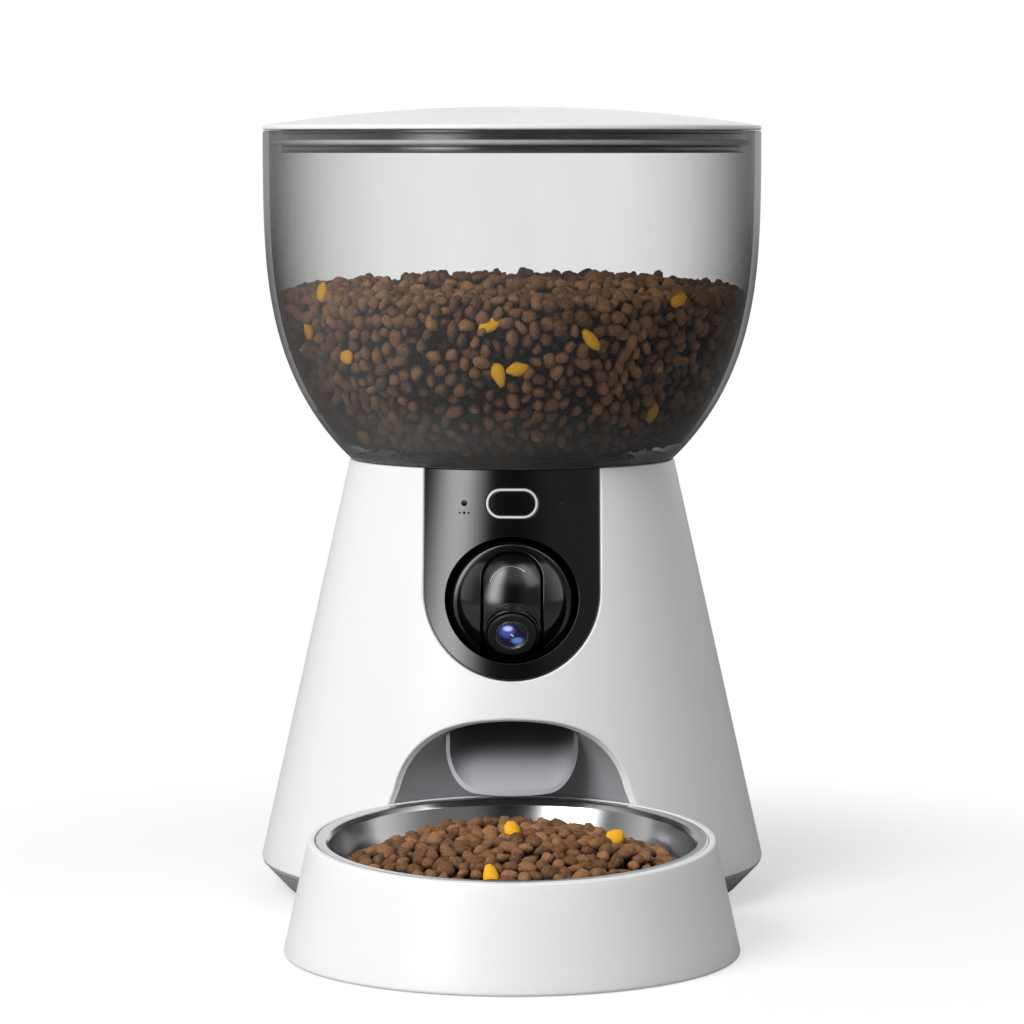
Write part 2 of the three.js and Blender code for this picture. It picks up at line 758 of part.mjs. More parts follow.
function gearBlank(teeth, startsWithSpace, lowZ) {
  const options = { depth: gearThickness, bevelEnabled: false };
  const geometry = new THREE.ExtrudeGeometry(gearOutline(teeth, startsWithSpace), options);
  return toSolid(geometry.translate(0, 0, lowZ));
}

function driveGear() {
  const lowZ = gearPlateZ + gearPlateThickness + gearLift;
  const hub = disc(gearHubRadius, lowZ, lowZ + gearHubHeight, smallFacets);
  const bore = disc(rotorShaftRadius + touchGap, lowZ - cutOverrun, lowZ + 2 * cutOverrun, smallFacets);
  return piece("drive_gear", cut(join(gearBlank(wheelTeeth, false, lowZ), hub), bore), acetal);
}

function motorPinion() {
  const lowZ = gearPlateZ + gearPlateThickness + gearLift;
  const shaft = disc(motorShaftRadius, gearPlateZ - motorShaftDepth, lowZ + gearHubHeight, smallFacets);
  const facingWheel = gearBlank(pinionTeeth, true, lowZ);
  const mesh = piece("motor_pinion", join(facingWheel, shaft), steel);
  mesh.position.y = pinionY;
  return mesh;
}

function gearPlate() {
  const topZ = gearPlateZ + gearPlateThickness;
  let plate = block(
    [-gearPlateHalfWidth, gearPlateHalfWidth],
    [gearPlateFrontY, gearPlateBackY],
    [gearPlateZ, topZ],
  );
  const postX = gearPlateHalfWidth - gearPostInset;
  for (const x of [-postX, postX]) {
    for (const y of [gearPlateFrontY + gearPostInset, gearPlateBackY - gearPostInset]) {
      plate = join(plate, disc(gearPostRadius, gearPlateZ, drumFloorZ - touchGap, smallFacets, x, y));
    }
  }
  const shaftHole = disc(rotorShaftRadius + touchGap, 0, drumFloorZ, smallFacets);
  const pinionHole = disc(motorShaftRadius + touchGap, 0, drumFloorZ, smallFacets, 0, pinionY);
  return piece("gear_plate", cut(plate, shaftHole, pinionHole), blackPlastic);
}

function gearMotor() {
  const topZ = gearPlateZ - touchGap;
  const gearboxZ = topZ - gearboxHeight;
  const bore = motorShaftRadius + touchGap;
  const profile = [
    [0, gearboxZ - motorCanHeight],
    [motorCanRadius, gearboxZ - motorCanHeight],
    [motorCanRadius, gearboxZ],
    [gearboxRadius, gearboxZ],
    [gearboxRadius, topZ],
    [bore, topZ],
    [bore, topZ - motorShaftDepth],
    [0, topZ - motorShaftDepth],
  ];
  const mesh = piece("gear_motor", turned(profile, ringFacets), steel);
  mesh.position.y = pinionY;
  return mesh;
}

// Hopper: a bowl whose wall rises from the neck in one round sweep
function hopperRadiusAt(rise) {
  const drop = 1 - rise;
  const spread = (1 - drop ** hopperRiseExponentShare) ** (1 / hopperSpreadExponentShare);
  return bodyTopRadius + (hopperRimRadius - bodyTopRadius) * spread;
}

function hopper() {
  const outer = [];
  const inner = [];
  const floorZ = hopperFootZ + hopperWall;
  for (let i = 0; i <= hopperRings; i += 1) {
    const rise = (i / hopperRings) ** hopperRingSpreadShare;
    outer.push([hopperRadiusAt(rise), hopperFootZ + rise * hopperHeight]);
  }
  for (let i = hopperRings; i >= 1; i -= 1) {
    const rise = (i / hopperRings) ** hopperRingSpreadShare;
    const z = hopperFootZ + rise * hopperHeight;
    if (z > floorZ + hopperFloorRise) inner.push([hopperRadiusAt(rise) - hopperWall, z]);
  }
  const spigotZ = hopperFootZ - hopperSpigotDepth;
  const profile = [
    [hopperSpigotRadius, spigotZ],
    [hopperSpigotRadius, hopperFootZ],
    ...outer,
    ...inner,
    [bodyTopRadius - hopperWall, floorZ + hopperFloorRise],
    [hopperMouthRadius, floorZ],
    [hopperMouthRadius, spigotZ],
    [hopperSpigotRadius, spigotZ],
  ];
  return piece("hopper", turned(profile, shellFacets), smokedPlastic);
}

function lidShell() {
  const edgeZ = lidFootZ + lidEdgeHeight;
  const crownZ = (radius) => edgeZ + lidCrown * (1 - (radius / hopperRimRadius) ** 2);
  const ledge = hopperRimRadius - lidLedgeWidth;
  const profile = [
    [ledge, lidFootZ],
    [hopperRimRadius, lidFootZ],
  ];
  for (let i = lidRings; i >= 0; i -= 1) {
    const radius = (hopperRimRadius * i) / lidRings;
    profile.push([radius, crownZ(radius)]);
  }
  for (let i = 0; i < lidRings; i += 1) {
    const radius = (ledge * i) / lidRings;
    profile.push([radius, crownZ(radius) - lidThickness]);
  }
  profile.push([ledge, lidFootZ]);
  const collarTop = crownZ(desiccantRadius) - lidThickness / 2;
  const collarLow = collarTop - desiccantCollarDepth;
  const collarOuter = desiccantRadius + touchGap + desiccantCollar;
  const collar = cut(
    disc(collarOuter, collarLow, collarTop),
    disc(desiccantRadius + touchGap, collarLow - cutOverrun, collarTop + cutOverrun),
  );
  const crown = turned(profile, shellFacets);
  return piece("lid_shell", join(crown, common(collar, lidBelow(crownZ))), whitePlastic);
}

// Everything below the lid's outer surface, which keeps the collar under it
function lidBelow(crownZ) {
  const points = [[0, 0]];
  points.push([hopperRimRadius, 0]);
  for (let i = lidRings; i >= 0; i -= 1) {
    const radius = (hopperRimRadius * i) / lidRings;
    points.push([radius, crownZ(radius) - lidThickness / 2]);
  }
  return turned(points, shellFacets);
}

function ringOf(name, outer, inner, lowZ, highZ, look) {
  const profile = [
    [inner, lowZ],
    [outer, lowZ],
    [outer, highZ],
    [inner, highZ],
    [inner, lowZ],
  ];
  return piece(name, turned(profile, shellFacets), look);
}

function lidSkirt() {
  const lowZ = skirtTopZ - skirtHeight;
  return ringOf("lid_skirt", skirtRadius, skirtRadius - skirtWall, lowZ, skirtTopZ, darkGreyPlastic);
}

function lidSeal() {
  const highZ = skirtTopZ - sealDrop;
  const outer = hopperRimRadius - hopperWall - touchGap;
  return ringOf("lid_seal", outer, skirtRadius + touchGap, highZ - sealHeight, highZ, silicone);
}

function desiccantBox() {
  const roofZ = lidFootZ + lidEdgeHeight + lidCrown - lidThickness;
  const sag = lidCrown * (desiccantRadius / hopperRimRadius) ** 2;
  const topZ = roofZ - sag - 2 * touchGap;
  const lowZ = topZ - desiccantHeight;
  const profile = [
    [0, lowZ],
    [desiccantRadius, lowZ],
    [desiccantRadius, topZ],
    [desiccantRadius - desiccantWall, topZ],
    [desiccantRadius - desiccantWall, lowZ + desiccantWall],
    [0, lowZ + desiccantWall],
  ];
  const packLowZ = lowZ + desiccantWall + touchGap;
  return [
    piece("desiccant_box", turned(profile, ringFacets), whitePlastic),
    piece("desiccant_pack", disc(packRadius, packLowZ, packLowZ + packHeight), sachet),
  ];
}

// Bowl holder and steel bowl, in a group whose origin is the holder's own axis
function tilted(solid) {
  return solid.rotate([rimTiltDegrees, 0, 0]).translate([0, -bowlSetback, trayRimZ]);
}

function bowlTray() {
  const highZ = trayRimZ + 2 * cutOverrun;
  const outer = turned(
    [
      [0, 0],
      [trayRadiusAt(trayFootEdge) - trayFootEdge, 0],
      [trayRadiusAt(trayFootEdge), trayFootEdge],
      [trayRadiusAt(highZ), highZ],
      [0, highZ],
    ],
    shellFacets,
  );
  const hollow = turned(
    [
      [0, -cutOverrun],
      [trayRadiusAt(-cutOverrun) - trayWall, -cutOverrun],
      [trayRadiusAt(highZ) - trayWall, highZ],
      [0, highZ],
    ],
    shellFacets,
  );
  const rebateRadius = bowlRimRadius + touchGap;
  const shelfTop = -bowlSheet - touchGap;
  const shelfLow = shelfTop - trayShelfThickness;
  const reach = trayFloorRadius + cutOverrun;
  const aboveRim = tilted(disc(reach, 0, reach, shellFacets));
  const rebate = tilted(disc(rebateRadius, shelfTop, reach, shellFacets));
  const belowShelf = tilted(disc(reach, -reach, shelfLow, shellFacets));
  const bore = tilted(disc(rebateRadius - trayShelfWidth, -reach, reach, shellFacets));
  const walls = cut(outer, common(hollow, belowShelf), bore, rebate, aboveRim);
  return piece("bowl_tray", walls, whitePlastic);
}

function steelBowl() {
  const wallTopRadius = bowlRimRadius - bowlFlangeWidth;
  const profile = [
    [0, -bowlDepth],
    [bowlFloorRadius, -bowlDepth],
    [wallTopRadius - bowlSheet, -bowlSheet * 2],
    [wallTopRadius, -bowlSheet],
    [bowlRimRadius, -bowlSheet],
    [bowlRimRadius, 0],
    [wallTopRadius, 0],
    [wallTopRadius - bowlSheet, -bowlSheet],
    [bowlFloorRadius - bowlSheet / 2, bowlSheet - bowlDepth],
    [0, bowlSheet - bowlDepth],
  ];
  const mesh = piece("steel_bowl", turned(profile, shellFacets), stainless);
  mesh.rotation.x = rimTilt;
  mesh.position.set(0, -bowlSetback, trayRimZ);
  return mesh;
}

// Face plate and what it carries
function facePlate() {
  const skin = common(bodySkin(0, plateThickness), plateBlock(-touchGap));
  const recess = new THREE.Shape();
  recess.absellipse(0, recessZ, recessHalfWidth, recessHalfHeight, 0, fullTurn);
  const recessHole = pushedAlongY(recess, -bodyFootRadius, -cutOverrun, smallFacets);
  const micHole = rodY(micHoleRadius, -bodyFootRadius, 0, -sensorHoleX, buttonZ, screwFacets);
  const lightHole = rodY(lightHoleRadius, -bodyFootRadius, 0, sensorHoleX, buttonZ, screwFacets);
  const plate = cut(skin, recessHole, pillBlock(-touchGap), micHole, lightHole);
  const postY = buttonBoardY - touchGap;
  const inner = bodyCone(plateThickness / 2, bodyFootZ);
  const posts = [-boardPostX, boardPostX].map((x) =>
    common(rodY(boardPostRadius, -bodyTopRadius - cutOverrun, postY, x, buttonZ, screwFacets), inner),
  );
  return piece("face_plate", join(plate, ...posts), blackGloss);
}

function lightRing() {
  const ring = cut(pillBlock(0), pillBlock(ringStroke));
  return piece("light_ring", common(ring, bodySkin(0, ringDepth)), lightPlastic);
}

function feedButton() {
  const cap = pillBlock(ringStroke + touchGap);
  return piece("feed_button", common(cap, bodySkin(0, buttonDepth)), blackGloss);
}

function buttonBoard() {
  const lowZ = buttonZ - buttonBoardHalfHeight;
  const highZ = buttonZ + buttonBoardHalfHeight;
  const backY = buttonBoardY + buttonBoardThickness;
  const wide = [-buttonBoardHalfWidth, buttonBoardHalfWidth];
  return piece("button_board", block(wide, [buttonBoardY, backY], [lowZ, highZ]), circuitGreen);
}

function buttonSwitch() {
  const half = switchSize / 2;
  const capBackY = buttonDepth - bodyRadiusAt(buttonZ + ringHalfHeight);
  const frontY = capBackY + buttonTravel + 2 * touchGap;
  const backY = buttonBoardY - touchGap;
  const body = block([-half, half], [frontY, backY], [buttonZ - half, buttonZ + half]);
  return piece("button_switch", body, blackPlastic);
}

function microphone() {
  const backY = buttonBoardY - touchGap;
  const capsule = rodY(micRadius, backY - sensorDepth, backY, -sensorHoleX, buttonZ);
  return piece("microphone", capsule, steel);
}

function statusLight() {
  const backY = buttonBoardY - touchGap;
  const lamp = rodY(statusLightRadius, backY - sensorDepth, backY, sensorHoleX, buttonZ, screwFacets);
  return piece("status_light", lamp, lightPlastic);
}

// Camera: cup, motors, pan head and tilting barrel, all about the ball's own centre
function cameraCup() {
  const inner = ballRadius + cupClearance;
  const outer = inner + cupWall;
  const front = ballY + bodyRadiusAt(ballZ) + cutOverrun;
  const outside = join(ball(outer), rodY(outer, -front - cutOverrun, 0, 0, 0, ringFacets));
  const inside = join(ball(inner), rodY(inner, -front - 2 * cutOverrun, 0, 0, 0, ringFacets));
  const seat = disc(motorSeatRadius, inner - cupWall, motorSeatTop, smallFacets);
  const motorHole = disc(panMotorRadius + touchGap, 0, motorSeatTop + cutOverrun, smallFacets);
  const shellInside = bodyCone(shellWall + touchGap, bodyFootZ).translate([0, -ballY, -ballZ]);
  const cup = common(cut(join(outside, seat), inside, motorHole), shellInside);
  return piece("camera_cup", cup, blackPlastic);
}

function panMotor() {
  const bore = panShaftRadius + touchGap;
  const flangeZ = motorSeatTop + touchGap;
  const profile = [
    [bore, panMotorBottom],
    [panMotorRadius, panMotorBottom],
    [panMotorRadius, flangeZ],
    [panMotorFlangeRadius, flangeZ],
    [panMotorFlangeRadius, flangeZ + panMotorFlangeThickness],
    [panMotorRadius, flangeZ + panMotorFlangeThickness],
    [panMotorRadius, panMotorTop],
    [0, panMotorTop],
    [0, panShaftTop + touchGap],
    [bore, panShaftTop + touchGap],
    [bore, panMotorBottom],
  ];
  return piece("pan_motor", turned(profile, smallFacets), steel);
}

function panHead() {
  const inner = ballRadius - headWall;
  const reach = ballRadius + cutOverrun;
  const behind = block([-reach, reach], [headBackY, reach], [-reach, reach]);
  const slot = new THREE.Shape();
  const corner = slotCornerRadius;
  slot.moveTo(-slotHalfWidth, -reach);
  slot.lineTo(slotHalfWidth, -reach);
  slot.lineTo(slotHalfWidth, slotTopZ - corner);
  slot.absarc(slotHalfWidth - corner, slotTopZ - corner, corner, 0, quarterTurn);
  slot.absarc(corner - slotHalfWidth, slotTopZ - corner, corner, quarterTurn, halfTurn);
  slot.closePath();
  const skin = cut(ball(ballRadius), ball(inner), behind, pushedAlongY(slot, -reach, 0));
  const cheekOut = slotHalfWidth + cheekThickness;
  const cheeks = [
    [-cheekOut, -slotHalfWidth],
    [slotHalfWidth, cheekOut],
  ].map((cheekX) => {
    const slab = block(cheekX, [-reach, reach], [-reach, reach]);
    return cut(common(ball(ballRadius - headWall / 2), slab), behind);
  });
  const pinBore = rodX(tiltPinRadius + touchGap, -reach, reach);
  const shaft = disc(panShaftRadius, inner - headWall, panShaftTop, smallFacets);
  const shaftCut = cut(shaft, ball(inner));
  return piece("pan_head", join(cut(join(skin, ...cheeks), pinBore), shaftCut), blackGloss);
}

function tiltMotor() {
  const fromX = slotHalfWidth + cheekThickness + touchGap;
  const body = rodX(tiltMotorRadius, fromX, fromX + tiltMotorLength);
  const bore = rodX(tiltPinRadius + touchGap, 0, fromX + tiltShaftLength);
  return piece("tilt_motor", cut(body, bore), steel);
}

function tiltPin() {
  const outerX = -slotHalfWidth - cheekThickness - 2 * touchGap;
  const innerX = -slotHalfWidth + barrelSideGap + 2 * barrelWall;
  return piece("tilt_pin", rodX(tiltPinRadius, outerX, innerX), steel);
}

// A wedge of the side view between two angles, wide enough to cut the whole barrel
function sideWedge(fromDegrees, toDegrees, halfWidth) {
  const reach = 2 * ballRadius;
  const shape = new THREE.Shape();
  shape.moveTo(0, 0);
  const steps = 2 * cornerFacets;
  for (let i = 0; i <= steps; i += 1) {
    const angle = fromDegrees + ((toDegrees - fromDegrees) * i) / steps;
    const [forward, up] = onCircle(reach, angle);
    shape.lineTo(forward, up);
  }
  shape.closePath();
  const options = { depth: 2 * halfWidth, bevelEnabled: false };
  const geometry = new THREE.ExtrudeGeometry(shape, options).translate(0, 0, -halfWidth);
  return toSolid(geometry.rotateX(quarterTurn).rotateZ(-quarterTurn));
}

function aimed(solid) {
  return solid.rotate([-lensPitchDegrees, 0, 0]);
}

function tiltBarrel() {
  const halfWidth = slotHalfWidth - barrelSideGap;
  const reach = ballRadius;
  const slab = block([-halfWidth, halfWidth], [-reach, reach], [-reach, reach]);
  const sideSlab = (low, high) => block([low, high], [-reach, reach], [-reach, reach]);
  const wedge = sideWedge(barrelBottomDegrees, barrelTopDegrees, halfWidth + cutOverrun);
  const full = ball(barrelRadius);
  const skin = cut(common(full, slab, wedge), ball(barrelRadius - barrelWall));
  const plates = [
    sideSlab(-halfWidth, barrelWall - halfWidth),
    sideSlab(halfWidth - barrelWall, halfWidth),
  ].map((side) => common(full, side, wedge));
  const hubs = [
    rodX(tiltHubRadius, -halfWidth, barrelWall - halfWidth),
    rodX(tiltHubRadius, halfWidth - barrelWall, halfWidth),
  ];
  const pod = aimed(rodY(lensPodRadius, -lensPodReach, -barrelRadius / 2, 0, 0, ringFacets));
  const podBore = aimed(rodY(lensTubeRadius + touchGap, -reach - cutOverrun, 0, 0, 0, ringFacets));
  const pinBore = rodX(tiltPinRadius + touchGap, -reach, 0);
  const stubEnd = slotHalfWidth + cheekThickness + tiltShaftLength;
  const stub = rodX(tiltPinRadius, halfWidth - barrelWall, stubEnd);
  const barrel = cut(join(skin, ...plates, ...hubs, common(pod, slab)), podBore, pinBore);
  return piece("tilt_barrel", join(barrel, stub), blackGloss);
}

function lensTube() {
  const back = -lensTubeBack;
  const body = rodY(lensTubeRadius, -lensTubeReach, back, 0, 0, ringFacets);
  const bore = rodY(lensTubeBore, -lensTubeReach - cutOverrun, back + cutOverrun, 0, 0, smallFacets);
  return piece("lens_tube", cut(body, bore), blackPlastic);
}

function lensBezel() {
  const back = -lensTubeReach - touchGap;
  const body = rodY(bezelRadius, -bezelReach, back, 0, 0, ringFacets);
  const bore = rodY(bezelBore, -bezelReach - cutOverrun, cutOverrun, 0, 0, ringFacets);
  return piece("lens_bezel", cut(body, bore), blackGloss);
}

function lensWindow() {
  const back = -lensTubeReach - touchGap;
  return piece("lens_window", rodY(glassRadius, -glassReach, back, 0, 0, ringFacets), lensGlass);
}

function sensorBoard() {
  const frontY = -lensTubeBack + touchGap;
  const half = [-sensorBoardHalfSize, sensorBoardHalfSize];
  return piece("sensor_board", block(half, [frontY, frontY + sensorBoardThickness], half), circuitGreen);
}

// Small parts of the base
function feet() {
  return footAngles.map((angle, i) => {
    const topZ = footHeight + footRecessDepth - touchGap;
    const foot = piece(`rubber_foot_${i + 1}`, disc(footRadius, 0, topZ, smallFacets), rubber);
    const [x, y] = onCircle(footCircleRadius, angle);
    foot.position.set(x, y, 0);
    return foot;
  });
}

function baseScrews() {
  return screwAngles.map((angle, i) => {
    const headTop = footHeight + screwHeadHeight - touchGap;
    const profile = [
      [0, headTop - screwHeadHeight],
      [screwHeadRadius, headTop - screwHeadHeight],
      [screwHeadRadius, headTop],
      [screwShankRadius, headTop],
      [screwShankRadius, headTop + screwLength],
      [0, headTop + screwLength],
    ];
    const screw = piece(`base_screw_${i + 1}`, turned(profile, screwFacets), steel);
    const [x, y] = onCircle(screwCircleRadius, angle);
    screw.position.set(x, y, 0);
    return screw;
  });
}

function housingScrews() {
  return housingScrewAngles.map((angle, i) => {
    const headTop = drumTopZ - topFlangeThickness - touchGap;
    const profile = [
      [0, headTop - housingScrewHeadHeight],
      [housingScrewHeadRadius, headTop - housingScrewHeadHeight],
      [housingScrewHeadRadius, headTop],
      [housingScrewRadius, headTop],
      [housingScrewRadius, headTop + housingScrewLength],
      [0, headTop + housingScrewLength],
    ];
    const screw = piece(`housing_screw_${i + 1}`, turned(profile, screwFacets), steel);
    const [x, y] = onCircle(housingScrewCircle, angle);
    screw.position.set(x, y, 0);
    return screw;
  });
}

function mainBoard() {
  const lowZ = baseFloorZ + boardLift + touchGap;
  const wide = [-boardHalfWidth, boardHalfWidth];
  const board = block(wide, [boardFrontY, boardBackY], [lowZ, lowZ + boardThickness]);
  return piece("main_board", board, circuitGreen);
}

function powerInlet() {
  const outerY = bodyFootRadius + cutOverrun;
  const rodTo = (radius, inset) => common(rodY(radius, inletInnerY, outerY, 0, inletZ), bodyCone(inset));
  const barrel = rodTo(inletBarrelRadius, 0);
  const shoulder = rodTo(inletShoulderRadius, shellWall + touchGap);
  const boreY = bodyRadiusAt(inletZ) - inletBoreDepth;
  const bore = rodY(inletBore, boreY, outerY, 0, inletZ);
  const pinRoot = boreY - cutOverrun / 2;
  const pinTip = bodyRadiusAt(inletZ) - inletPinSetback;
  const pin = rodY(inletPinRadius, pinRoot, pinTip, 0, inletZ, screwFacets);
  return piece("power_inlet", join(cut(join(barrel, shoulder), bore), pin), blackPlastic);
}

function speaker() {
  const lowZ = baseFloorZ + touchGap;
  const profile = [
    [0, lowZ + speakerRim],
    [speakerRadius - speakerRim, lowZ + speakerRim],
    [speakerRadius - speakerRim, lowZ],
    [speakerRadius, lowZ],
    [speakerRadius, lowZ + speakerBasketHeight],
    [speakerMagnetRadius, lowZ + speakerBasketHeight],
    [speakerMagnetRadius, lowZ + speakerHeight],
    [0, lowZ + speakerHeight],
  ];
  const mesh = piece("speaker", turned(profile, ringFacets), blackPlastic);
  mesh.position.set(speakerX, speakerY, 0);
  return mesh;
}

// The scene graph
function groupAt(x, y, z, ...children) {
  const group = new THREE.Group();
  group.position.set(x, y, z);
  group.add(...children);
  return group;
}

const lensGroup = groupAt(0, 0, 0, lensTube(), lensBezel(), lensWindow(), sensorBoard());
lensGroup.rotation.x = -lensPitch;

const cameraGroup = groupAt(
  0,
  ballY,
  ballZ,
  cameraCup(),
  panMotor(),
  panHead(),
  tiltMotor(),
  tiltPin(),
  tiltBarrel(),
  lensGroup,
);

const bowlGroup = groupAt(0, -trayReach, 0, bowlTray(), steelBowl());

// The whole feeder, moved so that the middle of its footprint is the origin
const frontY = -trayReach - trayRadiusAt(trayFootEdge);
const feeder = groupAt(
  0,
  -(frontY + bodyFootRadius) / 2,
  0,
  baseTray(),
  bodyShell(),
  recessLiner(),
  chute(),
  dispenserHousing(),
  portionRotor(),
  rotorShaft(),
  shaftBush(),
  driveGear(),
  motorPinion(),
  gearPlate(),
  gearMotor(),
  hopper(),
  lidShell(),
  lidSkirt(),
  lidSeal(),
  ...desiccantBox(),
  facePlate(),
  lightRing(),
  feedButton(),
  buttonBoard(),
  buttonSwitch(),
  microphone(),
  statusLight(),
  ...feet(),
  ...baseScrews(),
  ...housingScrews(),
  mainBoard(),
  powerInlet(),
  speaker(),
  cameraGroup,
  bowlGroup,
);

export default feeder;
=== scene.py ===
# %% [markdown]
# # A pet feeder with a camera
# The feeder is a tall product on one upright axis: a base, a tapered body with a camera in its face, a
# clear hopper of kibble and a lid, with a bowl in front. Its working solids are already modelled, so this
# lesson dresses them: each piece that shows gets a finer mesh on the same sizes, and a finish made of
# nodes. Lengths below are in millimetres about the body's axis, because that is how such a product is
# drawn, and one helper turns them into metres.

# %% Load the frame
import math
import random

import bmesh
import bpy
from mathutils import Euler, Matrix, Vector, noise
from mathutils.geometry import delaunay_2d_cdt
from mathutils.kdtree import KDTree


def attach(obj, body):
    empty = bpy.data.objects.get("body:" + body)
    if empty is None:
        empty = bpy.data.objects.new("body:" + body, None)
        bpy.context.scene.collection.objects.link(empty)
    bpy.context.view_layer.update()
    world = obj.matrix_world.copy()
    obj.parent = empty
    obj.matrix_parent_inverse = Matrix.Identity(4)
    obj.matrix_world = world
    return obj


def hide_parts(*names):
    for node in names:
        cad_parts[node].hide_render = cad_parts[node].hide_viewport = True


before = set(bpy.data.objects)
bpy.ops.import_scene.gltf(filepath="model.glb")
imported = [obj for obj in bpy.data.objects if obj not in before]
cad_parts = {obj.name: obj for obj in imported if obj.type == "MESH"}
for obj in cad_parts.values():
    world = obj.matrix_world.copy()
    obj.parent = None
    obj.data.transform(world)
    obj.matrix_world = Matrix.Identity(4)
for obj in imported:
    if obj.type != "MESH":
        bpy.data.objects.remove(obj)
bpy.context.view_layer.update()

# %% [markdown]
# ## Meshes from rings
# Nearly every shell of a moulded product is a set of rings joined by quads: a turned cup, a tray with a
# tilted rim, a tube along a path. One loft function covers them all, and a piece keeps clean quads that
# shade smoothly. A corner of a profile may name a radius, because no moulded edge is sharp, and a small arc
# there catches the light.

# %% Corners with a radius
MM = 0.001
AXIS_Y = 61.77  # the body's axis, from the frame's origin
TURN = 2 * math.pi
TINY = 1e-6
WELD = 0.002  # corners closer than this become one
EDGE_STEPS = 5  # steps of a rolled edge
SIDE_SHARE = 0.48  # the most that one corner's arc takes of a side


def quarter(steps):
    """Angles from nothing to a right angle, in even steps."""
    return [math.pi / 2 * k / steps for k in range(steps + 1)]


def soften(points, loop=False, steps=4):
    """Points of a profile as (across, up) or (across, up, radius); each radius becomes a small arc."""
    made = []
    for i, (u, v, *radius) in enumerate(points):
        here = Vector((u, v))
        if not radius or (not loop and i in (0, len(points) - 1)):
            made.append((u, v))
            continue
        before = Vector(points[i - 1][:2]) - here
        after = Vector(points[(i + 1) % len(points)][:2]) - here
        corner = before.angle(after)
        reach = min(radius[0] / math.tan(corner / 2), SIDE_SHARE * min(before.length, after.length))
        arc = reach * math.tan(corner / 2)
        middle = here + (before.normalized() + after.normalized()).normalized() * arc / math.sin(corner / 2)
        start = here + before.normalized() * reach - middle
        end = here + after.normalized() * reach - middle
        sweep = math.pi - corner
        for k in range(steps + 1):
            t = k / steps
            spoke = (start * math.sin(sweep * (1 - t)) + end * math.sin(sweep * t)) / math.sin(sweep)
            made.append(tuple(middle + spoke))
    return made


print("a square corner of radius 1 becomes", len(soften([(0, 0), (5, 0, 1), (5, 5)])) - 2, "points")

# %% Rings into quads
def loft(rings, wrap=False):
    """Quads between closed rings; a ring of one point is a tip, and wrap joins the last to the first."""
    corners, starts = [], []
    for ring in rings:
        starts.append(len(corners))
        corners.extend(ring)
    faces = []
    pairs = [(i, i + 1) for i in range(len(rings) - 1)]
    if wrap:
        pairs.append((len(rings) - 1, 0))
    for a, b in pairs:
        n, m = len(rings[a]), len(rings[b])
        span = max(n, m)
        for k in range(span):
            j = (k + 1) % span
            low = [starts[a] + (k if n > 1 else 0), starts[a] + (j if n > 1 else 0)]
            high = [starts[b] + (j if m > 1 else 0), starts[b] + (k if m > 1 else 0)]
            face = list(dict.fromkeys(low + high))
            if len(face) > 2:
                faces.append(face)
    return corners, faces


def capped(rings):
    """Rings of one length joined by quads, with a face over the first ring and the last."""
    corners, faces = loft(rings)
    count = len(rings[0])
    last = len(corners) - count
    return corners, faces + [list(range(count))[::-1], [last + i for i in range(count)]]


def around(radius, along, segments, axis="Z"):
    """One ring about an axis, or its tip where the radius is nothing."""
    angles = [TURN * k / segments for k in range(segments)] if radius > TINY else [0]
    ring = [(radius * math.cos(a), radius * math.sin(a)) for a in angles]
    if axis == "Z":
        return [(u, v, along) for u, v in ring]
    if axis == "Y":
        return [(u, along, v) for u, v in ring]
    return [(along, u, v) for u, v in ring]


def turned(profile, segments=96, axis="Z", steps=4):
    """A profile of (radius, along) turned about an axis; one that starts off the axis closes on itself."""
    hollow = profile[0][0] > TINY
    points = soften(profile, loop=hollow, steps=steps)
    return loft([around(r, along, segments, axis) for r, along in points], wrap=hollow)


print("a turned disc has", len(turned([(0, 0), (9, 0, 1), (9, 4, 1), (0, 4)])[1]), "faces")

# %% Shapes in millimetres, meshes in metres
def shape_of(*shapes):
    """Several (corners, faces) as one."""
    corners, faces = [], []
    for more, quads in shapes:
        faces.extend([index + len(corners) for index in face] for face in quads)
        corners.extend(more)
    return corners, faces


def moved(shape, by=(0, 0, 0), turn=None):
    """A shape turned by a matrix and then moved, still in millimetres."""
    corners, faces = shape
    turn = turn or Matrix.Identity(3)
    return [tuple(turn @ Vector(c) + Vector(by)) for c in corners], faces


def rod(radius, low, high, segments=48, axis="Z", at=(0, 0, 0)):
    """A plain cylinder from low to high along an axis."""
    return moved(turned([(0, low), (radius, low), (radius, high), (0, high)], segments, axis), at)


def sphere(radius, rows=64, segments=128):
    """A ball about its own middle."""
    angles = [math.pi * k / rows for k in range(rows + 1)]
    return loft([around(radius * math.sin(a), -radius * math.cos(a), segments) for a in angles])


def raw(name, shape):
    """A mesh object in the frame's metres, with its faces turned outwards."""
    corners, faces = shape
    mesh = bpy.data.meshes.new(name)
    mesh.from_pydata([(x * MM, (y + AXIS_Y) * MM, z * MM) for x, y, z in corners], [], faces)
    edit = bmesh.new()
    edit.from_mesh(mesh)
    bmesh.ops.remove_doubles(edit, verts=edit.verts, dist=WELD * MM)
    bmesh.ops.dissolve_degenerate(edit, edges=edit.edges, dist=1e-7)
    bmesh.ops.recalc_face_normals(edit, faces=edit.faces)
    edit.to_mesh(mesh)
    edit.free()
    thing = bpy.data.objects.new(name, mesh)
    bpy.context.scene.collection.objects.link(thing)
    return thing


def smooth(thing, degrees=32):
    """Smooth shading, with an edge kept crisp where the faces turn by more than an angle."""
    thing.data.shade_smooth()
    thing.data.set_sharp_from_angle(angle=math.radians(degrees))
    return thing


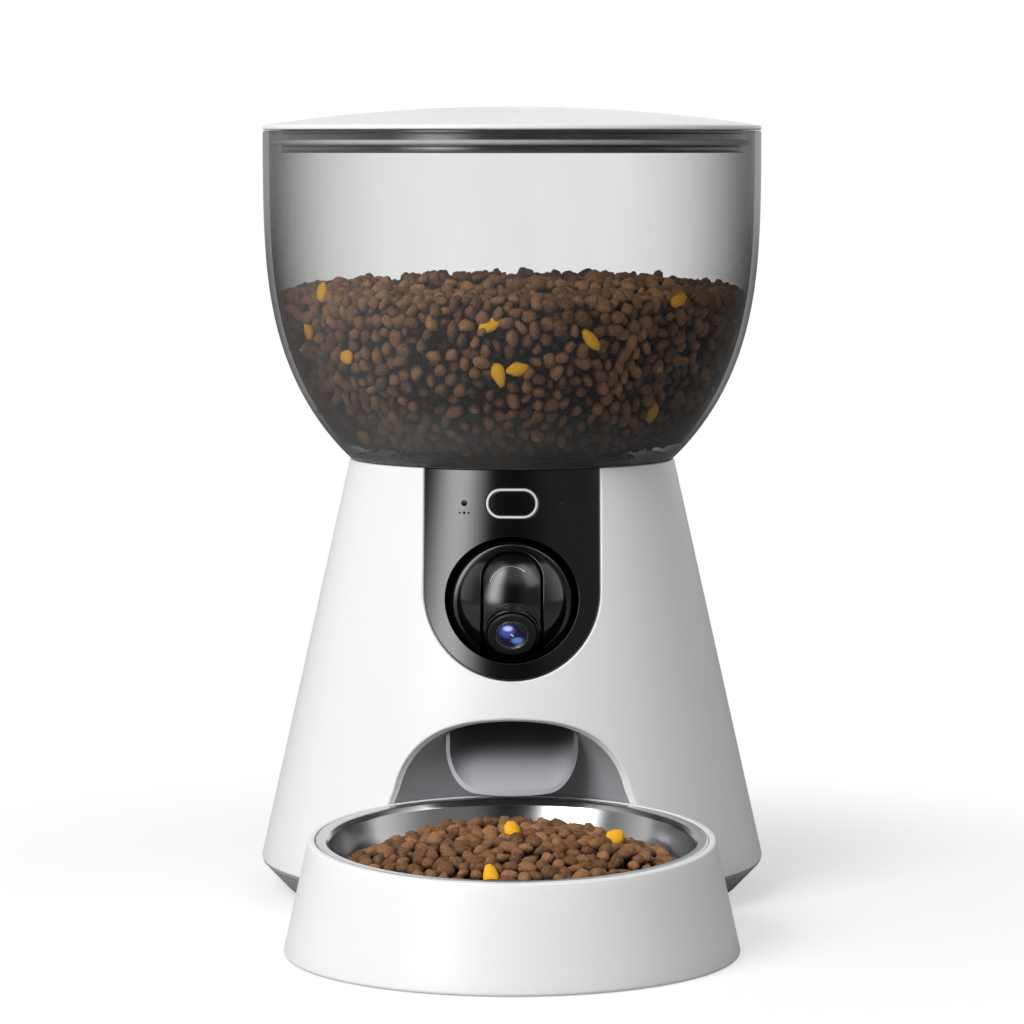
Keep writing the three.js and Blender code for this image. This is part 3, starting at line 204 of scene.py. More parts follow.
def shaped(thing, tools, operation="DIFFERENCE"):
    """Cut or join a piece with other meshes, which are then thrown away."""
    for tool in tools:
        step = thing.modifiers.new("step", "BOOLEAN")
        step.operation = operation
        step.solver = "EXACT"
        step.object = tool
    bpy.context.view_layer.update()
    graph = bpy.context.evaluated_depsgraph_get()
    result = bpy.data.meshes.new_from_object(thing.evaluated_get(graph))
    thing.modifiers.clear()
    thing.data = result
    for tool in tools:
        bpy.data.objects.remove(tool)
    return thing


def cut(thing, *shapes):
    """Take shapes away from a piece."""
    return shaped(thing, [raw("cutter", shape) for shape in shapes])


def clipped(thing, shape):
    """Keep what lies inside a shape."""
    return shaped(thing, [raw("limit", shape)], "INTERSECT")


def follow(thing, rule, degrees):
    """Give a cut mesh the normals of its old surface, where its faces lie within an angle of that."""
    mesh = smooth(thing).data
    normals = [Vector(c.vector) for c in mesh.corner_normals]
    for face in mesh.polygons:
        for corner in face.loop_indices:
            true = rule(mesh.vertices[mesh.loops[corner].vertex_index].co)
            if true.length and true.angle(face.normal) < math.radians(degrees):
                normals[corner] = true.normalized()
    mesh.normals_split_custom_set(normals)
    return thing


FINISHES = {}


def fit(thing, finish, body, slot=None, *nodes):
    """Put the finish on a piece, hide the solids it stands for, and let it ride on its body."""
    thing.data.materials.clear()
    thing.data.materials.append(FINISHES[finish])
    if nodes:
        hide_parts(*nodes)
    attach(thing, body)
    return thing


def piece(name, shape, finish, body, slot=None, *nodes, crisp=32):
    """A smooth piece straight from its shape."""
    return fit(smooth(raw(name, shape), crisp), finish, body, slot, *nodes)


# %% [markdown]
# ## Shader maths as plain sums
# A finish is a small sum of masks: grain plus scuffs, times a strength. Wiring Math nodes by hand hides
# that, so one class wraps a socket and gives it the usual operators, and another holds the material.
# Textures use object coordinates, which are metres here, so a scale of 1 / 0.002 makes marks about 2 mm
# wide.

# %% Sockets with operators
class Signal:
    """A socket of a finish; sums with it add Math nodes."""

    def __init__(self, finish, socket):
        self.finish, self.socket = finish, socket

    def math(self, operation, *values):
        """A Math node on these values, which are sockets or numbers."""
        return self.finish.add("ShaderNodeMath", {"operation": operation}, dict(enumerate(values)))

    def __add__(self, other):
        return self.math("ADD", self, other)

    def __sub__(self, other):
        return self.math("SUBTRACT", self, other)

    def __rsub__(self, other):
        return self.math("SUBTRACT", other, self)

    def __mul__(self, other):
        return self.math("MULTIPLY", self, other)

    def __truediv__(self, other):
        return self.math("DIVIDE", self, other)

    def __pow__(self, other):
        return self.math("POWER", self, other)

    def step(self, low, high, kind="LINEAR"):
        """A straight ramp from 0 at low to 1 at high, level beyond them; low may be the larger."""
        ramp = {"From Min": low, "From Max": high, "Value": self}
        return self.finish.add("ShaderNodeMapRange", {"interpolation_type": kind}, ramp)

    def ease(self, low, high):
        """The same ramp with soft ends."""
        return self.step(low, high, "SMOOTHSTEP")


class Finish:
    """A material's nodes, by the finish's name, or the nodes of another owner, the surroundings."""

    def __init__(self, name, owner=None, place="Object"):
        self.material = owner or bpy.data.materials.new(name)
        self.material.use_nodes = True
        self.tree = self.material.node_tree
        self.tree.nodes.clear()
        self.place = self.add("ShaderNodeTexCoord", output=place)
        FINISHES[name] = self.material

    def add(self, kind, settings=None, inputs=None, output=0):
        """A node of this kind: its settings first, then its sockets' values or links."""
        node = self.tree.nodes.new(kind)
        for key, value in (settings or {}).items():
            setattr(node, key, value)
        for key, value in (inputs or {}).items():
            if isinstance(value, Signal):
                self.tree.links.new(value.socket, node.inputs[key])
            else:
                node.inputs[key].default_value = value
        return Signal(self, node.outputs[output]) if node.outputs else None

    def noise(self, size, detail=3, place=None):
        """Cloudy marks of about a size in millimetres."""
        inputs = {"Vector": place or self.place, "Scale": 1 / (size * MM), "Detail": detail}
        return self.add("ShaderNodeTexNoise", {}, inputs)

    def cells(self, size, feature="F1"):
        """Cells of about a size in millimetres, as the distance from a cell's middle or from its edge."""
        inputs = {"Vector": self.place, "Scale": 1 / (size * MM)}
        return self.add("ShaderNodeTexVoronoi", {"feature": feature}, inputs, "Distance")

    def stretched(self, x, y, z):
        """The object coordinates, squeezed so that marks run long where the factor is small."""
        inputs = {0: self.place, 1: (x, y, z)}
        return self.add("ShaderNodeVectorMath", {"operation": "MULTIPLY"}, inputs)

    def axes(self):
        """The three object coordinates, in metres."""
        node = self.add("ShaderNodeSeparateXYZ", {}, {0: self.place}).socket.node
        return [Signal(self, out) for out in node.outputs]

    def blend(self, mask, first, second):
        """From the first colour to the second by a mask."""
        inputs = {0: mask}
        for key, value in ((6, first), (7, second)):
            inputs[key] = value if isinstance(value, Signal) else (*value, 1)
        return self.add("ShaderNodeMix", {"data_type": "RGBA"}, inputs, 2)

    def bump(self, height, depth):
        """A normal from a height of 0 to 1 over a depth in millimetres."""
        return self.add("ShaderNodeBump", {}, {"Height": height, "Distance": depth * MM, "Strength": 1})

    def surface(self, color, roughness, normal=None, **constants):
        """The finished surface; a constant's underscores stand for the spaces in its socket's name."""
        inputs = {key.replace("_", " "): value for key, value in constants.items()}
        inputs["Base Color"] = color if isinstance(color, Signal) else (*color, 1)
        inputs["Roughness"] = roughness
        if normal:
            inputs["Normal"] = normal
        shader = self.add("ShaderNodeBsdfPrincipled", {}, inputs)
        self.add("ShaderNodeOutputMaterial", {}, {"Surface": shader})


def tone(value):
    """A grey as written on screen, 0 to 255, in the linear light that shaders use."""
    part = value / 255
    return part / 12.92 if part < 0.04045 else ((part + 0.055) / 1.055) ** 2.4


print("a screen grey of 128 is", round(tone(128), 3), "in linear light")

# %% [markdown]
# ## White, grey and dark plastics
# Moulded plastic is never quite even: the tool is spark-eroded, which leaves a fine orange-peel grain, the
# melt leaves faint clouds of gloss, and handling adds hairline scuffs. The grain is a height, the clouds
# and scuffs are roughness, and the colour itself hardly moves. One recipe makes every satin shade.

# %% Satin plastics
GRAIN = 0.35  # width of the spark-eroded grain
GRAIN_DEPTH = 0.004
MID_GREY = (tone(146), tone(147), tone(151))
SATIN = {
    "white_satin": ((0.83, 0.83, 0.835), 0.36),
    # the lid's white is a darker copy of the body's white plastic, as painted shade
    "lid_white": ((0.79, 0.79, 0.795), 0.3),
    "base_grey": (MID_GREY, 0.42),
    "liner_grey": (MID_GREY, 0.42),
    "chute_grey": ((tone(176), tone(177), tone(182)), 0.4),
    "drum_grey": ((0.045, 0.046, 0.05), 0.45),
    "inner_black": ((0.012, 0.012, 0.013), 0.5),
    "acetal": ((0.74, 0.71, 0.62), 0.38),
}
# the chute's colour is painted darker between these heights, as painted shade under the arch
PAINTED_SHADE_FROM, PAINTED_SHADE_TO = 0.053, 0.069  # the chute darkens between these heights, in metres
PAINTED_SHADE_FACTOR = 0.34


def darker(color, factor):
    return [part * factor for part in color]


def satin(name, color, roughness):
    """Spark-eroded plastic; the chute's is painted darker the higher it goes, as painted shade under the
    arch.
    """
    made = Finish(name)
    grain = made.noise(GRAIN, 2)
    cloud = made.noise(38, 2)
    scuff = made.noise(6, 4, made.stretched(1, 1, 0.12)).step(0.62, 0.8)
    shade = made.blend(cloud * 0.5 + grain * 0.18, color, darker(color, 0.93))
    # painted shade: the chute's colour darkens with height, where the arch shades it
    if name == "chute_grey":
        height = made.axes()[2]
        shade = made.blend(height.ease(PAINTED_SHADE_FROM, PAINTED_SHADE_TO), shade, darker(color, PAINTED_SHADE_FACTOR))
    peel = grain + made.noise(9, 2) * 0.6
    gloss = cloud * 0.1 + scuff * 0.08 + (roughness - 0.06)
    made.surface(shade, gloss, made.bump(peel, GRAIN_DEPTH), Specular_IOR_Level=0.32)


for name, (color, roughness) in SATIN.items():
    satin(name, color, roughness)
print("satin finishes:", ", ".join(SATIN))

# %% [markdown]
# ## Polished black, dark band and smoked hopper
# The face plate and camera are polished black: almost no colour, a hard coat, and dust and wiping marks
# that only the gloss shows. The band under the lid is turned, so its lines run round it. The hopper is
# smoke-grey, lightly frosted plastic: thin where it faces us, dark at its outline because light crosses
# more of it there, which Layer Weight measures. Its haze is painted lighter on the lamp's side and darker
# on the right, as painted light and shade.

# %% Gloss and smoke
def polished(name, roughness, coat):
    """Black gloss with wiping marks and a little dust."""
    made = Finish(name)
    wiped = made.noise(14, 5, made.stretched(1, 1, 0.25)).step(0.45, 0.85)
    dust = made.cells(2.6).step(0.03, 0.015) * made.noise(9, 1).step(0.5, 0.7)
    shade = made.blend(dust * 0.4, (0.003, 0.003, 0.0035), (0.04, 0.04, 0.04))
    made.surface(shade, wiped * 0.05 + dust * 0.2 + roughness, made.bump(made.noise(30, 1), 0.012),
                 Coat_Weight=coat, Coat_Roughness=roughness * 0.6)


polished("plate_black", 0.16, 0.2)
polished("camera_black", 0.18, 0.3)

band = Finish("turned_band")
lines = band.noise(0.9, 3, band.stretched(0.02, 0.02, 1))
shade = band.blend(lines, (0.004, 0.004, 0.0045), (0.016, 0.016, 0.017))
band.surface(shade, lines * 0.15 + 0.14, band.bump(lines, 0.05),
             Coat_Weight=1.0, Coat_Roughness=0.14, Coat_IOR=1.75)

# lit and dim tones of the smoke: painted light and painted shade
SMOKE_LIT, SMOKE_DIM = (0.29, 0.283, 0.275), (0.05, 0.049, 0.048)
SMOKE_RIM = (0.012, 0.012, 0.013)
smoke = Finish("smoked_wall")
rim = smoke.add("ShaderNodeLayerWeight", {}, {"Blend": 0.5}, "Facing")
frost = smoke.noise(0.7, 3)
flow = smoke.noise(26, 3, smoke.stretched(1, 1, 0.35))
right, _, height = smoke.axes()
low = height.step(0.2, 0.176)
thick = (rim ** 1.95) * 0.84 + flow * 0.05 + low * 0.3 + 0.05
# painted light and shade: the smoke's colour is lighter on the lamp's side, darker on the right
painted_side_light = smoke.blend(right.step(-0.05, 0.08), SMOKE_LIT, SMOKE_DIM)
shade = smoke.blend(rim.step(0, 0.8), painted_side_light, SMOKE_RIM)
smoke.surface(shade, frost * 0.08 + 0.24, smoke.bump(frost, 0.004), Alpha=thick, Specular_IOR_Level=0.22)
print("gloss and smoke finishes made")

# %% [markdown]
# ## Metals
# The bowl is pressed and then polished round and round, so its scratches are circles. Sockets see only a
# place, so the distance from the bowl's axis is worked out from two coordinates and fed to a noise that
# varies fast along it. Plated screws, shafts and motor cans get a finer cloud.

# %% Steel finishes
TRAY_Y = -140  # the bowl holder's axis, from the body's
BOWL_BACK = 0.9
bowl_steel = Finish("bowl_steel")
bx, by, bz = bowl_steel.axes()
by = by - (TRAY_Y - BOWL_BACK + AXIS_Y) * MM
reach = (bx * bx + by * by) ** 0.5
ringed = bowl_steel.add("ShaderNodeCombineXYZ", {}, {0: reach, 1: bz * 0.6})
spin = bowl_steel.noise(0.35, 3, ringed)
smear = bowl_steel.noise(12, 4)
shade = bowl_steel.blend(smear, (0.62, 0.62, 0.63), (0.52, 0.525, 0.535))
bowl_steel.surface(shade, spin * 0.12 + smear * 0.06 + 0.1, bowl_steel.bump(spin, 0.0035), Metallic=1.0)

plated = Finish("plated_steel")
mottle = plated.noise(3, 4)
shade = plated.blend(mottle, (0.5, 0.5, 0.51), (0.36, 0.365, 0.38))
plated.surface(shade, mottle * 0.2 + 0.2, plated.bump(plated.noise(0.3, 2), 0.004), Metallic=1.0)
print("steel finishes made")

# %% [markdown]
# ## Rubber, silicone, boards, cloth and lamps
# The rest is small but still real: feet with a matt grain, a milky rotor, boards with a weave of tracks
# under green lacquer, a sachet of woven fibre, and a frosted ring that the button's light shines through.

# %% Small finishes
rubber = Finish("foot_rubber")
pores = rubber.noise(0.5, 4)
shade = rubber.blend(pores, (0.018, 0.018, 0.018), (0.04, 0.04, 0.04))
rubber.surface(shade, pores * 0.15 + 0.72, rubber.bump(pores, 0.03))

milky = Finish("silicone")
clouds = milky.noise(7, 3)
shade = milky.blend(clouds, (0.5, 0.52, 0.54), (0.42, 0.44, 0.47))
milky.surface(shade, clouds * 0.15 + 0.5, milky.bump(milky.noise(0.8, 2), 0.01))

board = Finish("circuit_lacquer")
tracks = board.cells(2.4, "DISTANCE_TO_EDGE").step(0.08, 0.05)
shade = board.blend(tracks, (0.012, 0.1, 0.035), (0.03, 0.2, 0.075))
board.surface(shade, tracks * 0.1 + 0.3, board.bump(tracks, 0.03))

WEAVE_SCALE = 900  # threads about a third of a millimetre wide
sachet = Finish("sachet_cloth")
weave = {"Vector": sachet.place, "Scale": WEAVE_SCALE, "Distortion": 1}
warp, weft = (sachet.add("ShaderNodeTexWave", {"bands_direction": axis}, weave) for axis in "XY")
threads = warp * 0.5 + weft * 0.5
shade = sachet.blend(threads, (0.5, 0.47, 0.4), (0.68, 0.65, 0.58))
sachet.surface(shade, threads * 0.1 + 0.8, sachet.bump(threads, 0.08))

frosted = Finish("light_ring_white")
speck = frosted.noise(0.4, 2)
shade = frosted.blend(speck, (0.66, 0.67, 0.68), (0.56, 0.57, 0.58))
frosted.surface(shade, speck * 0.1 + 0.3, frosted.bump(speck, 0.004),
                Emission_Color=(1, 1, 1, 1), Emission_Strength=0.03)
print("small finishes made:", ", ".join(FINISHES))

# %% [markdown]
# ## The body shell
# The real shell is one moulded cone with two openings in its front: an arch over the bowl and a slot for
# the face plate. Cutting holes with booleans would leave ragged shading on such a broad glossy cone, so the
# shell is lofted between two closed curves instead. The low curve runs round the foot and up over the arch.
# The high curve runs round the top and down round the plate. The arch itself is where the cone meets the
# round recess that the bowl stands in.

# %% Cone, recess and the arch where they meet
FOOT_Z, TOP_Z = 12.9, 174.9
FOOT_R, TOP_R = 101.8, 65.3
SLOPE = (FOOT_R - TOP_R) / (TOP_Z - FOOT_Z)
WALL = 2.5
TRAY_FOOT_R, TRAY_RIM_R, TRAY_RIM_Z = 85.65, 76, 43.1
TRAY_DRAFT = (TRAY_FOOT_R - TRAY_RIM_R) / TRAY_RIM_Z
TRAY_GAP = 0.5
DOME_R, DOME_Z = 28.8, 51.8
MIDDLE_R = 80  # the cone's radius about half way up, where widths are counted


def cone_r(z):
    return FOOT_R - (z - FOOT_Z) * SLOPE


def tray_r(z):
    return TRAY_FOOT_R - z * TRAY_DRAFT


DOME_MIDDLE = tray_r(DOME_Z) + TRAY_GAP - DOME_R


def recess_path(grow=0.0, low=FOOT_Z, steps=14):
    """The recess's profile about the bowl's axis, from low on its wall over the dome to its crown."""
    heights = [low + (DOME_Z - low) * k / steps for k in range(steps)]
    wall = [(tray_r(z) + TRAY_GAP + grow, z) for z in heights]
    radius = DOME_R + grow
    for a in quarter(2 * steps):
        wall.append((DOME_MIDDLE + radius * math.cos(a), DOME_Z + radius * math.sin(a)))
    return wall


def arch_edge(inset=0.0):
    """Points (turn from the front, height) on the right half of the arch, from the foot up to its crown."""
    edge = []
    for reach, z in recess_path(steps=20):
        r = cone_r(z) - inset
        y = (reach ** 2 - r ** 2 - TRAY_Y ** 2) / (-2 * TRAY_Y)
        if abs(y) > r:
            break
        edge.append((math.atan2(math.sqrt(r * r - y * y), -y), z))
    angle = math.acos((-TRAY_Y - cone_r(edge[-1][1]) + inset - DOME_MIDDLE) / DOME_R)
    edge.append((0, DOME_Z + DOME_R * math.sin(angle)))
    return edge


def spaced(points, count):
    """The same path with evenly spaced points; widths count at the cone's middle radius."""
    flat = [Vector((a * MIDDLE_R, z)) for a, z in points]
    lengths = [0]
    for p, q in zip(flat, flat[1:]):
        lengths.append(lengths[-1] + (q - p).length)
    made, k = [], 0
    for i in range(count):
        at = lengths[-1] * i / (count - 1)
        while k < len(lengths) - 2 and lengths[k + 1] < at:
            k += 1
        t = (at - lengths[k]) / (lengths[k + 1] - lengths[k])
        here = flat[k].lerp(flat[k + 1], t)
        made.append((here.x / MIDDLE_R, here.y))
    return made


arch = arch_edge()
arch_wide = 2 * FOOT_R * math.sin(arch[0][0])
print("the arch is", round(arch_wide), "mm wide at the floor and", round(arch[-1][1], 1), "high")

# %% Loft the shell between its two edges
PLATE_HALF, PLATE_ROUND_Z, PLATE_ROUND = 34.5, 127.7, 33.3
CLEARANCE = 0.15  # round the plate, and round the ring in it
LIP = 0.9
FRONT_POINTS, BACK_POINTS = 46, 60
ROWS = 22
INLET_Z, INLET_R = 26, 5.2


def plate_edge(grow):
    """The right half of the plate's outline as (turn, height), from its top corner to its lowest point."""
    half, drop = PLATE_HALF + grow, PLATE_ROUND + grow
    heights = [TOP_Z + (PLATE_ROUND_Z - TOP_Z) * k / 12 for k in range(12)]
    line = [(math.asin(half / cone_r(z)), z) for z in heights]
    for a in quarter(30):
        z = PLATE_ROUND_Z - drop * math.sin(a)
        line.append((math.asin(half * math.cos(a) / cone_r(z)), z))
    return line


def half_ring(front, back_z, back_turn):
    """A front half edge and the rest of its circle, as one closed ring of (turn, height)."""
    sweep = math.pi - back_turn
    rest = [(back_turn + sweep * k / BACK_POINTS, back_z) for k in range(BACK_POINTS, 0, -1)]
    right = rest + front
    left = [(-a, z) for a, z in reversed(right[1:-1])]
    return right + left


def on_cone(turn, z, depth=0.0):
    """The point of the cone, or of a cone set deeper, at a turn from the front and a height."""
    r = cone_r(z) - depth
    return Vector((r * math.sin(turn), -r * math.cos(turn), z))


def cone_normal(turn):
    return Vector((math.sin(turn), -math.cos(turn), SLOPE)).normalized()


def rolled(edge, inner):
    """Rings that roll an edge from the outer face to the wall; inner is the next ring along the face."""
    rings = []
    count = len(edge)
    for angle in quarter(EDGE_STEPS):
        out, deep = LIP * (1 - math.sin(angle)), LIP * (1 - math.cos(angle))
        ring = []
        for i, (turn, z) in enumerate(edge):
            here = on_cone(turn, z)
            along = on_cone(*edge[(i + 1) % count]) - on_cone(*edge[i - 1])
            inward = on_cone(*inner[i]) - here
            inward = (inward - along * inward.dot(along) / along.length_squared).normalized()
            ring.append(here + inward * out - cone_normal(turn) * deep)
        rings.append(ring)
    return rings


low_ring = half_ring(spaced(arch, FRONT_POINTS), FOOT_Z, arch[0][0])
high_edge = plate_edge(CLEARANCE)
high_ring = half_ring(spaced(high_edge, FRONT_POINTS), TOP_Z, high_edge[0][0])
grid = []
for row in range(ROWS + 1):
    v = row / ROWS
    grid.append([(a + (b - a) * v, z + (h - z) * v) for (a, z), (b, h) in zip(low_ring, high_ring)])
low_roll = rolled(low_ring, grid[1])
high_roll = rolled(high_ring, grid[-2])
outer = [[on_cone(a, z) for a, z in row] for row in grid[1:-1]]
deep_arch = arch_edge(WALL)
deep_ring = half_ring(spaced(deep_arch, FRONT_POINTS), FOOT_Z, deep_arch[0][0])
inner = [[on_cone(a, z, WALL) for a, z in row] for row in [deep_ring] + grid[4::4] + [grid[-1]]]
shell_rings = [*reversed(low_roll), *outer, *high_roll, *reversed(inner)]
flange_r = TOP_R - WALL - 0.3
flange = turned([(flange_r, TOP_Z), (flange_r, TOP_Z - WALL), (50, TOP_Z - WALL, 0.4), (50, TOP_Z, 0.6)])
shell = raw("body_shell_moulding", shape_of(loft(shell_rings, wrap=True), flange))
cut(shell, rod(INLET_R + 0.3, 0, 60, axis="Y", at=(0, 70, INLET_Z)))
fit(smooth(shell), "white_satin", "housing", "white_plastic", "body_shell")
print("the shell has", len(shell.data.polygons), "faces")

# %% [markdown]
# ## Recess liner and food chute
# Behind the arch stands a grey liner, the same round recess drawn one wall thicker, and the chute comes
# through it. The liner's front edge follows the inside of the shell, so each column of its mesh runs up the
# wall and over the dome until it meets the cone. The chute is a square-topped tube with rounded lower
# corners, tilted along its slope: its walls are flat, so booleans suit it, and its lip is cut parallel to
# the body.

# %% Recess liner
LINER_LOW, LINER_WALL, LINER_INSET = 19, 2.0, 2.52
LINER_COLUMNS, LINER_ROWS = 72, 40
TURN_STEP = 0.002


def liner_end(turn, path):
    """How far up the path a column at this turn about the bowl's axis goes before it meets the shell."""
    def outside(k):
        reach, z = path[k]
        x, y = reach * math.sin(turn), TRAY_Y + reach * math.cos(turn)
        return math.hypot(x, y) - (cone_r(z) - LINER_INSET)
    if outside(0) >= 0:
        return 0.0
    for k in range(len(path) - 1):
        if outside(k + 1) > 0:
            return k + outside(k) / (outside(k) - outside(k + 1))
    return len(path) - 1.0


def along_path(path, at):
    """The point a number of steps along a path, between its own points too."""
    k = min(int(at), len(path) - 2)
    (r0, z0), (r1, z1) = path[k], path[k + 1]
    t = at - k
    return r0 + (r1 - r0) * t, z0 + (z1 - z0) * t


inside_path = recess_path(0, LINER_LOW, 24)
outside_path = recess_path(LINER_WALL, LINER_LOW, 24)
widest = max(k * TURN_STEP for k in range(600) if liner_end(k * TURN_STEP, inside_path) > 0.01)
columns = []
for k in range(LINER_COLUMNS + 1):
    turn = widest * (2 * k / LINER_COLUMNS - 1)
    stop = liner_end(turn, inside_path)
    up = [along_path(inside_path, stop * i / LINER_ROWS) for i in range(LINER_ROWS + 1)]
    down = [along_path(outside_path, stop * i / LINER_ROWS) for i in range(LINER_ROWS, -1, -1)]
    columns.append([(r * math.sin(turn), TRAY_Y + r * math.cos(turn), z) for r, z in up + down])
liner = raw("recess_liner_vault", capped(columns))
print("the liner spans", round(2 * math.degrees(widest)), "degrees about the bowl's axis")

# %% Chute
CHUTE_SLOPE = math.radians(32)
LIP_INSET, LIP_Z = 4.5, 50.4
CHUTE_HALF, CHUTE_CORNER, CHUTE_HIGH, CHUTE_WALL = 25.6, 14, 23.5, 1.5
SHAFT_HALF, SHAFT_FRONT, SHAFT_BACK = 22.5, -33, -11.5
DRUM_LOW = 148.7
BALL, BALL_R = Vector((0, -60, 123.3)), 24.4
BALL_ROOM = 3.6
LIP_Y = LIP_INSET - cone_r(LIP_Z)


def prism(outline, start, end):
    """An outline in (x, z) pushed along Y."""
    return capped([[(x, y, z) for x, z in outline] for y in (start, end)])


def box_shape(low, high):
    outline = [(low[0], low[2]), (high[0], low[2]), (high[0], high[2]), (low[0], high[2])]
    return prism(outline, low[1], high[1])


def chute_form(margin):
    """The chute's outside grown by a margin: the sloping tube up to the shaft, and the shaft on top of it."""
    half, high, corner = CHUTE_HALF + margin, CHUTE_HIGH + margin, CHUTE_CORNER + margin
    side, back = SHAFT_HALF + margin, SHAFT_BACK + margin
    lip, tilt = (0, LIP_Y, LIP_Z), Matrix.Rotation(CHUTE_SLOPE, 3, "X")
    corners = [(-half, high), (-half, -margin, corner), (half, -margin, corner), (half, high)]
    slide = raw("slide", moved(prism(soften(corners, loop=True, steps=14), -12, 110), lip, tilt))
    clipped(slide, box_shape((-90, -150, 0), (90, back, DRUM_LOW)))
    shaft = raw("shaft", box_shape((-side, SHAFT_FRONT - margin, 30), (side, back, DRUM_LOW)))
    clipped(shaft, moved(box_shape((-90, -90, -margin), (90, 190, 190)), lip, tilt))
    shaped(slide, [shaft], "UNION")
    return cut(slide, moved(sphere(BALL_R + BALL_ROOM - margin, 32, 64), BALL))


def cone_solid(inset, low, high, segments=160):
    return turned([(0, low), (cone_r(low) - inset, low), (cone_r(high) - inset, high), (0, high)], segments)


chute = chute_form(0)
shaped(chute, [chute_form(-CHUTE_WALL)])
clipped(chute, cone_solid(LIP_INSET, 10, DRUM_LOW - 0.3))
shaped(liner, [chute_form(0.3)])
fit(smooth(liner, 40), "liner_grey", "housing", "grey_plastic", "recess_liner")
fit(smooth(chute, 40), "chute_grey", "housing", "grey_plastic", "chute")
print("liner and chute have", len(liner.data.polygons), "and", len(chute.data.polygons), "faces")

# %% [markdown]
# ## Skins cut from the cone: face plate, light ring and button
# These three lie flush in the shell, so each is a patch of the same cone. A flat outline is filled with
# triangles on a fine grid of points, which a Delaunay triangulation does evenly round any hole, and every
# point is then laid on the cone along the line of sight. The back is the same patch set deeper, and small
# rolled lips join the two.

# %% A sheet on the cone
RIM_SPACE = 0.55  # grid points nearer to a rim than this share of the pitch are left out


def on_face(x, z, depth=0.0):
    """The point of the cone, or of a cone set deeper, that lies behind (x, z) in the front view."""
    r = cone_r(z) - depth
    return Vector((x, -math.sqrt(max(r * r - x * x, 1)), z))


def within(point, loop):
    """Whether a flat point lies inside a loop."""
    inside = False
    for i, b in enumerate(loop):
        a = loop[i - 1]
        if (a[1] > point[1]) != (b[1] > point[1]):
            if point[0] < a[0] + (b[0] - a[0]) * (point[1] - a[1]) / (b[1] - a[1]):
                inside = not inside
    return inside


def into_sheet(loop, outermost):
    """The flat direction from each point of a loop into the sheet."""
    following = loop[1:] + loop[:1]
    area = sum(p[0] * q[1] - q[0] * p[1] for p, q in zip(loop, following))
    side = math.copysign(1, area) * (1 if outermost else -1)
    directions = []
    for before, after in zip(loop[-1:] + loop[:-1], following):
        ahead = Vector(after) - Vector(before)
        directions.append(Vector((-ahead.y, ahead.x)).normalized() * side)
    return directions


def filling(outline, rims, pitch):
    """The points of the rims and of an even grid over the outline, and the rims' edges."""
    points = [p for rim in rims for p in rim]
    tree = KDTree(len(points))
    for i, p in enumerate(points):
        tree.insert((p.x, p.y, 0), i)
    tree.balance()
    edges, start = [], 0
    for rim in rims:
        edges += [(start + i, start + (i + 1) % len(rim)) for i in range(len(rim))]
        start += len(rim)
    low = Vector((min(p[0] for p in outline), min(p[1] for p in outline)))
    high = Vector((max(p[0] for p in outline), max(p[1] for p in outline)))
    for row in range(int((high.y - low.y) / pitch) + 1):
        for column in range(int((high.x - low.x) / pitch) + 1):
            p = low + Vector((column + 0.5 * (row % 2), row)) * pitch
            if tree.find((p.x, p.y, 0))[2] > pitch * RIM_SPACE:
                points.append(p)
    return points, edges


def sheet(outline, holes, thickness, lip, pitch=1.4, hole_lip=None):
    """A patch of the cone inside an outline and outside its holes, with rolled edges; all in (x, z)."""
    loops = [outline, *holes]
    lips = [lip] + [hole_lip or lip] * len(holes)
    pulled = [into_sheet(loop, loop is outline) for loop in loops]
    rims = []
    for loop, directions, reach in zip(loops, pulled, lips):
        rims.append([Vector(p) + n * reach for p, n in zip(loop, directions)])
    flat, _, faces, _, _, _ = delaunay_2d_cdt(*filling(outline, rims, pitch), [], 0, 1e-6)
    kept = []
    for face in faces:
        middle = sum((flat[i] for i in face), Vector((0, 0))) / len(face)
        if within(middle, rims[0]) and not any(within(middle, rim) for rim in rims[1:]):
            kept.append(list(face))
    front = [on_face(p.x, p.y) for p in flat]
    back = [on_face(p.x, p.y, thickness) for p in flat]
    back_faces = [[i + len(front) for i in reversed(face)] for face in kept]
    shapes = [(front + back, kept + back_faces)]
    for loop, directions, reach, rim in zip(loops, pulled, lips, rims):
        rings = []
        for angle in quarter(EDGE_STEPS):
            drawn = [Vector(p) + n * reach * (1 - math.sin(angle)) for p, n in zip(loop, directions)]
            rings.append([on_face(q.x, q.y, reach * (1 - math.cos(angle))) for q in drawn])
        rings.append([on_face(p[0], p[1], max(thickness - reach * 0.5, reach * 1.05)) for p in loop])
        rings.append([on_face(q.x, q.y, thickness) for q in rim])
        shapes.append(loft(rings))
    return shape_of(*shapes)


def ellipse(half, high, z, count=96, x=0.0):
    angles = [TURN * k / count for k in range(count)]
    return [(x + half * math.cos(a), z + high * math.sin(a)) for a in angles]


def pill(inset):
    """A pill round the button's place, drawn in by an inset."""
    radius, straight = PILL_HIGH - inset, PILL_HALF - PILL_HIGH
    made = []
    for side, turn in ((1, -math.pi / 2), (-1, math.pi / 2)):
        for k in range(PILL_STEPS + 1):
            angle = turn + math.pi * k / PILL_STEPS
            made.append((side * straight + radius * math.cos(angle), BUTTON_Z + radius * math.sin(angle)))
    return made


print("the cone leans in by", round(SLOPE, 3), "a millimetre")

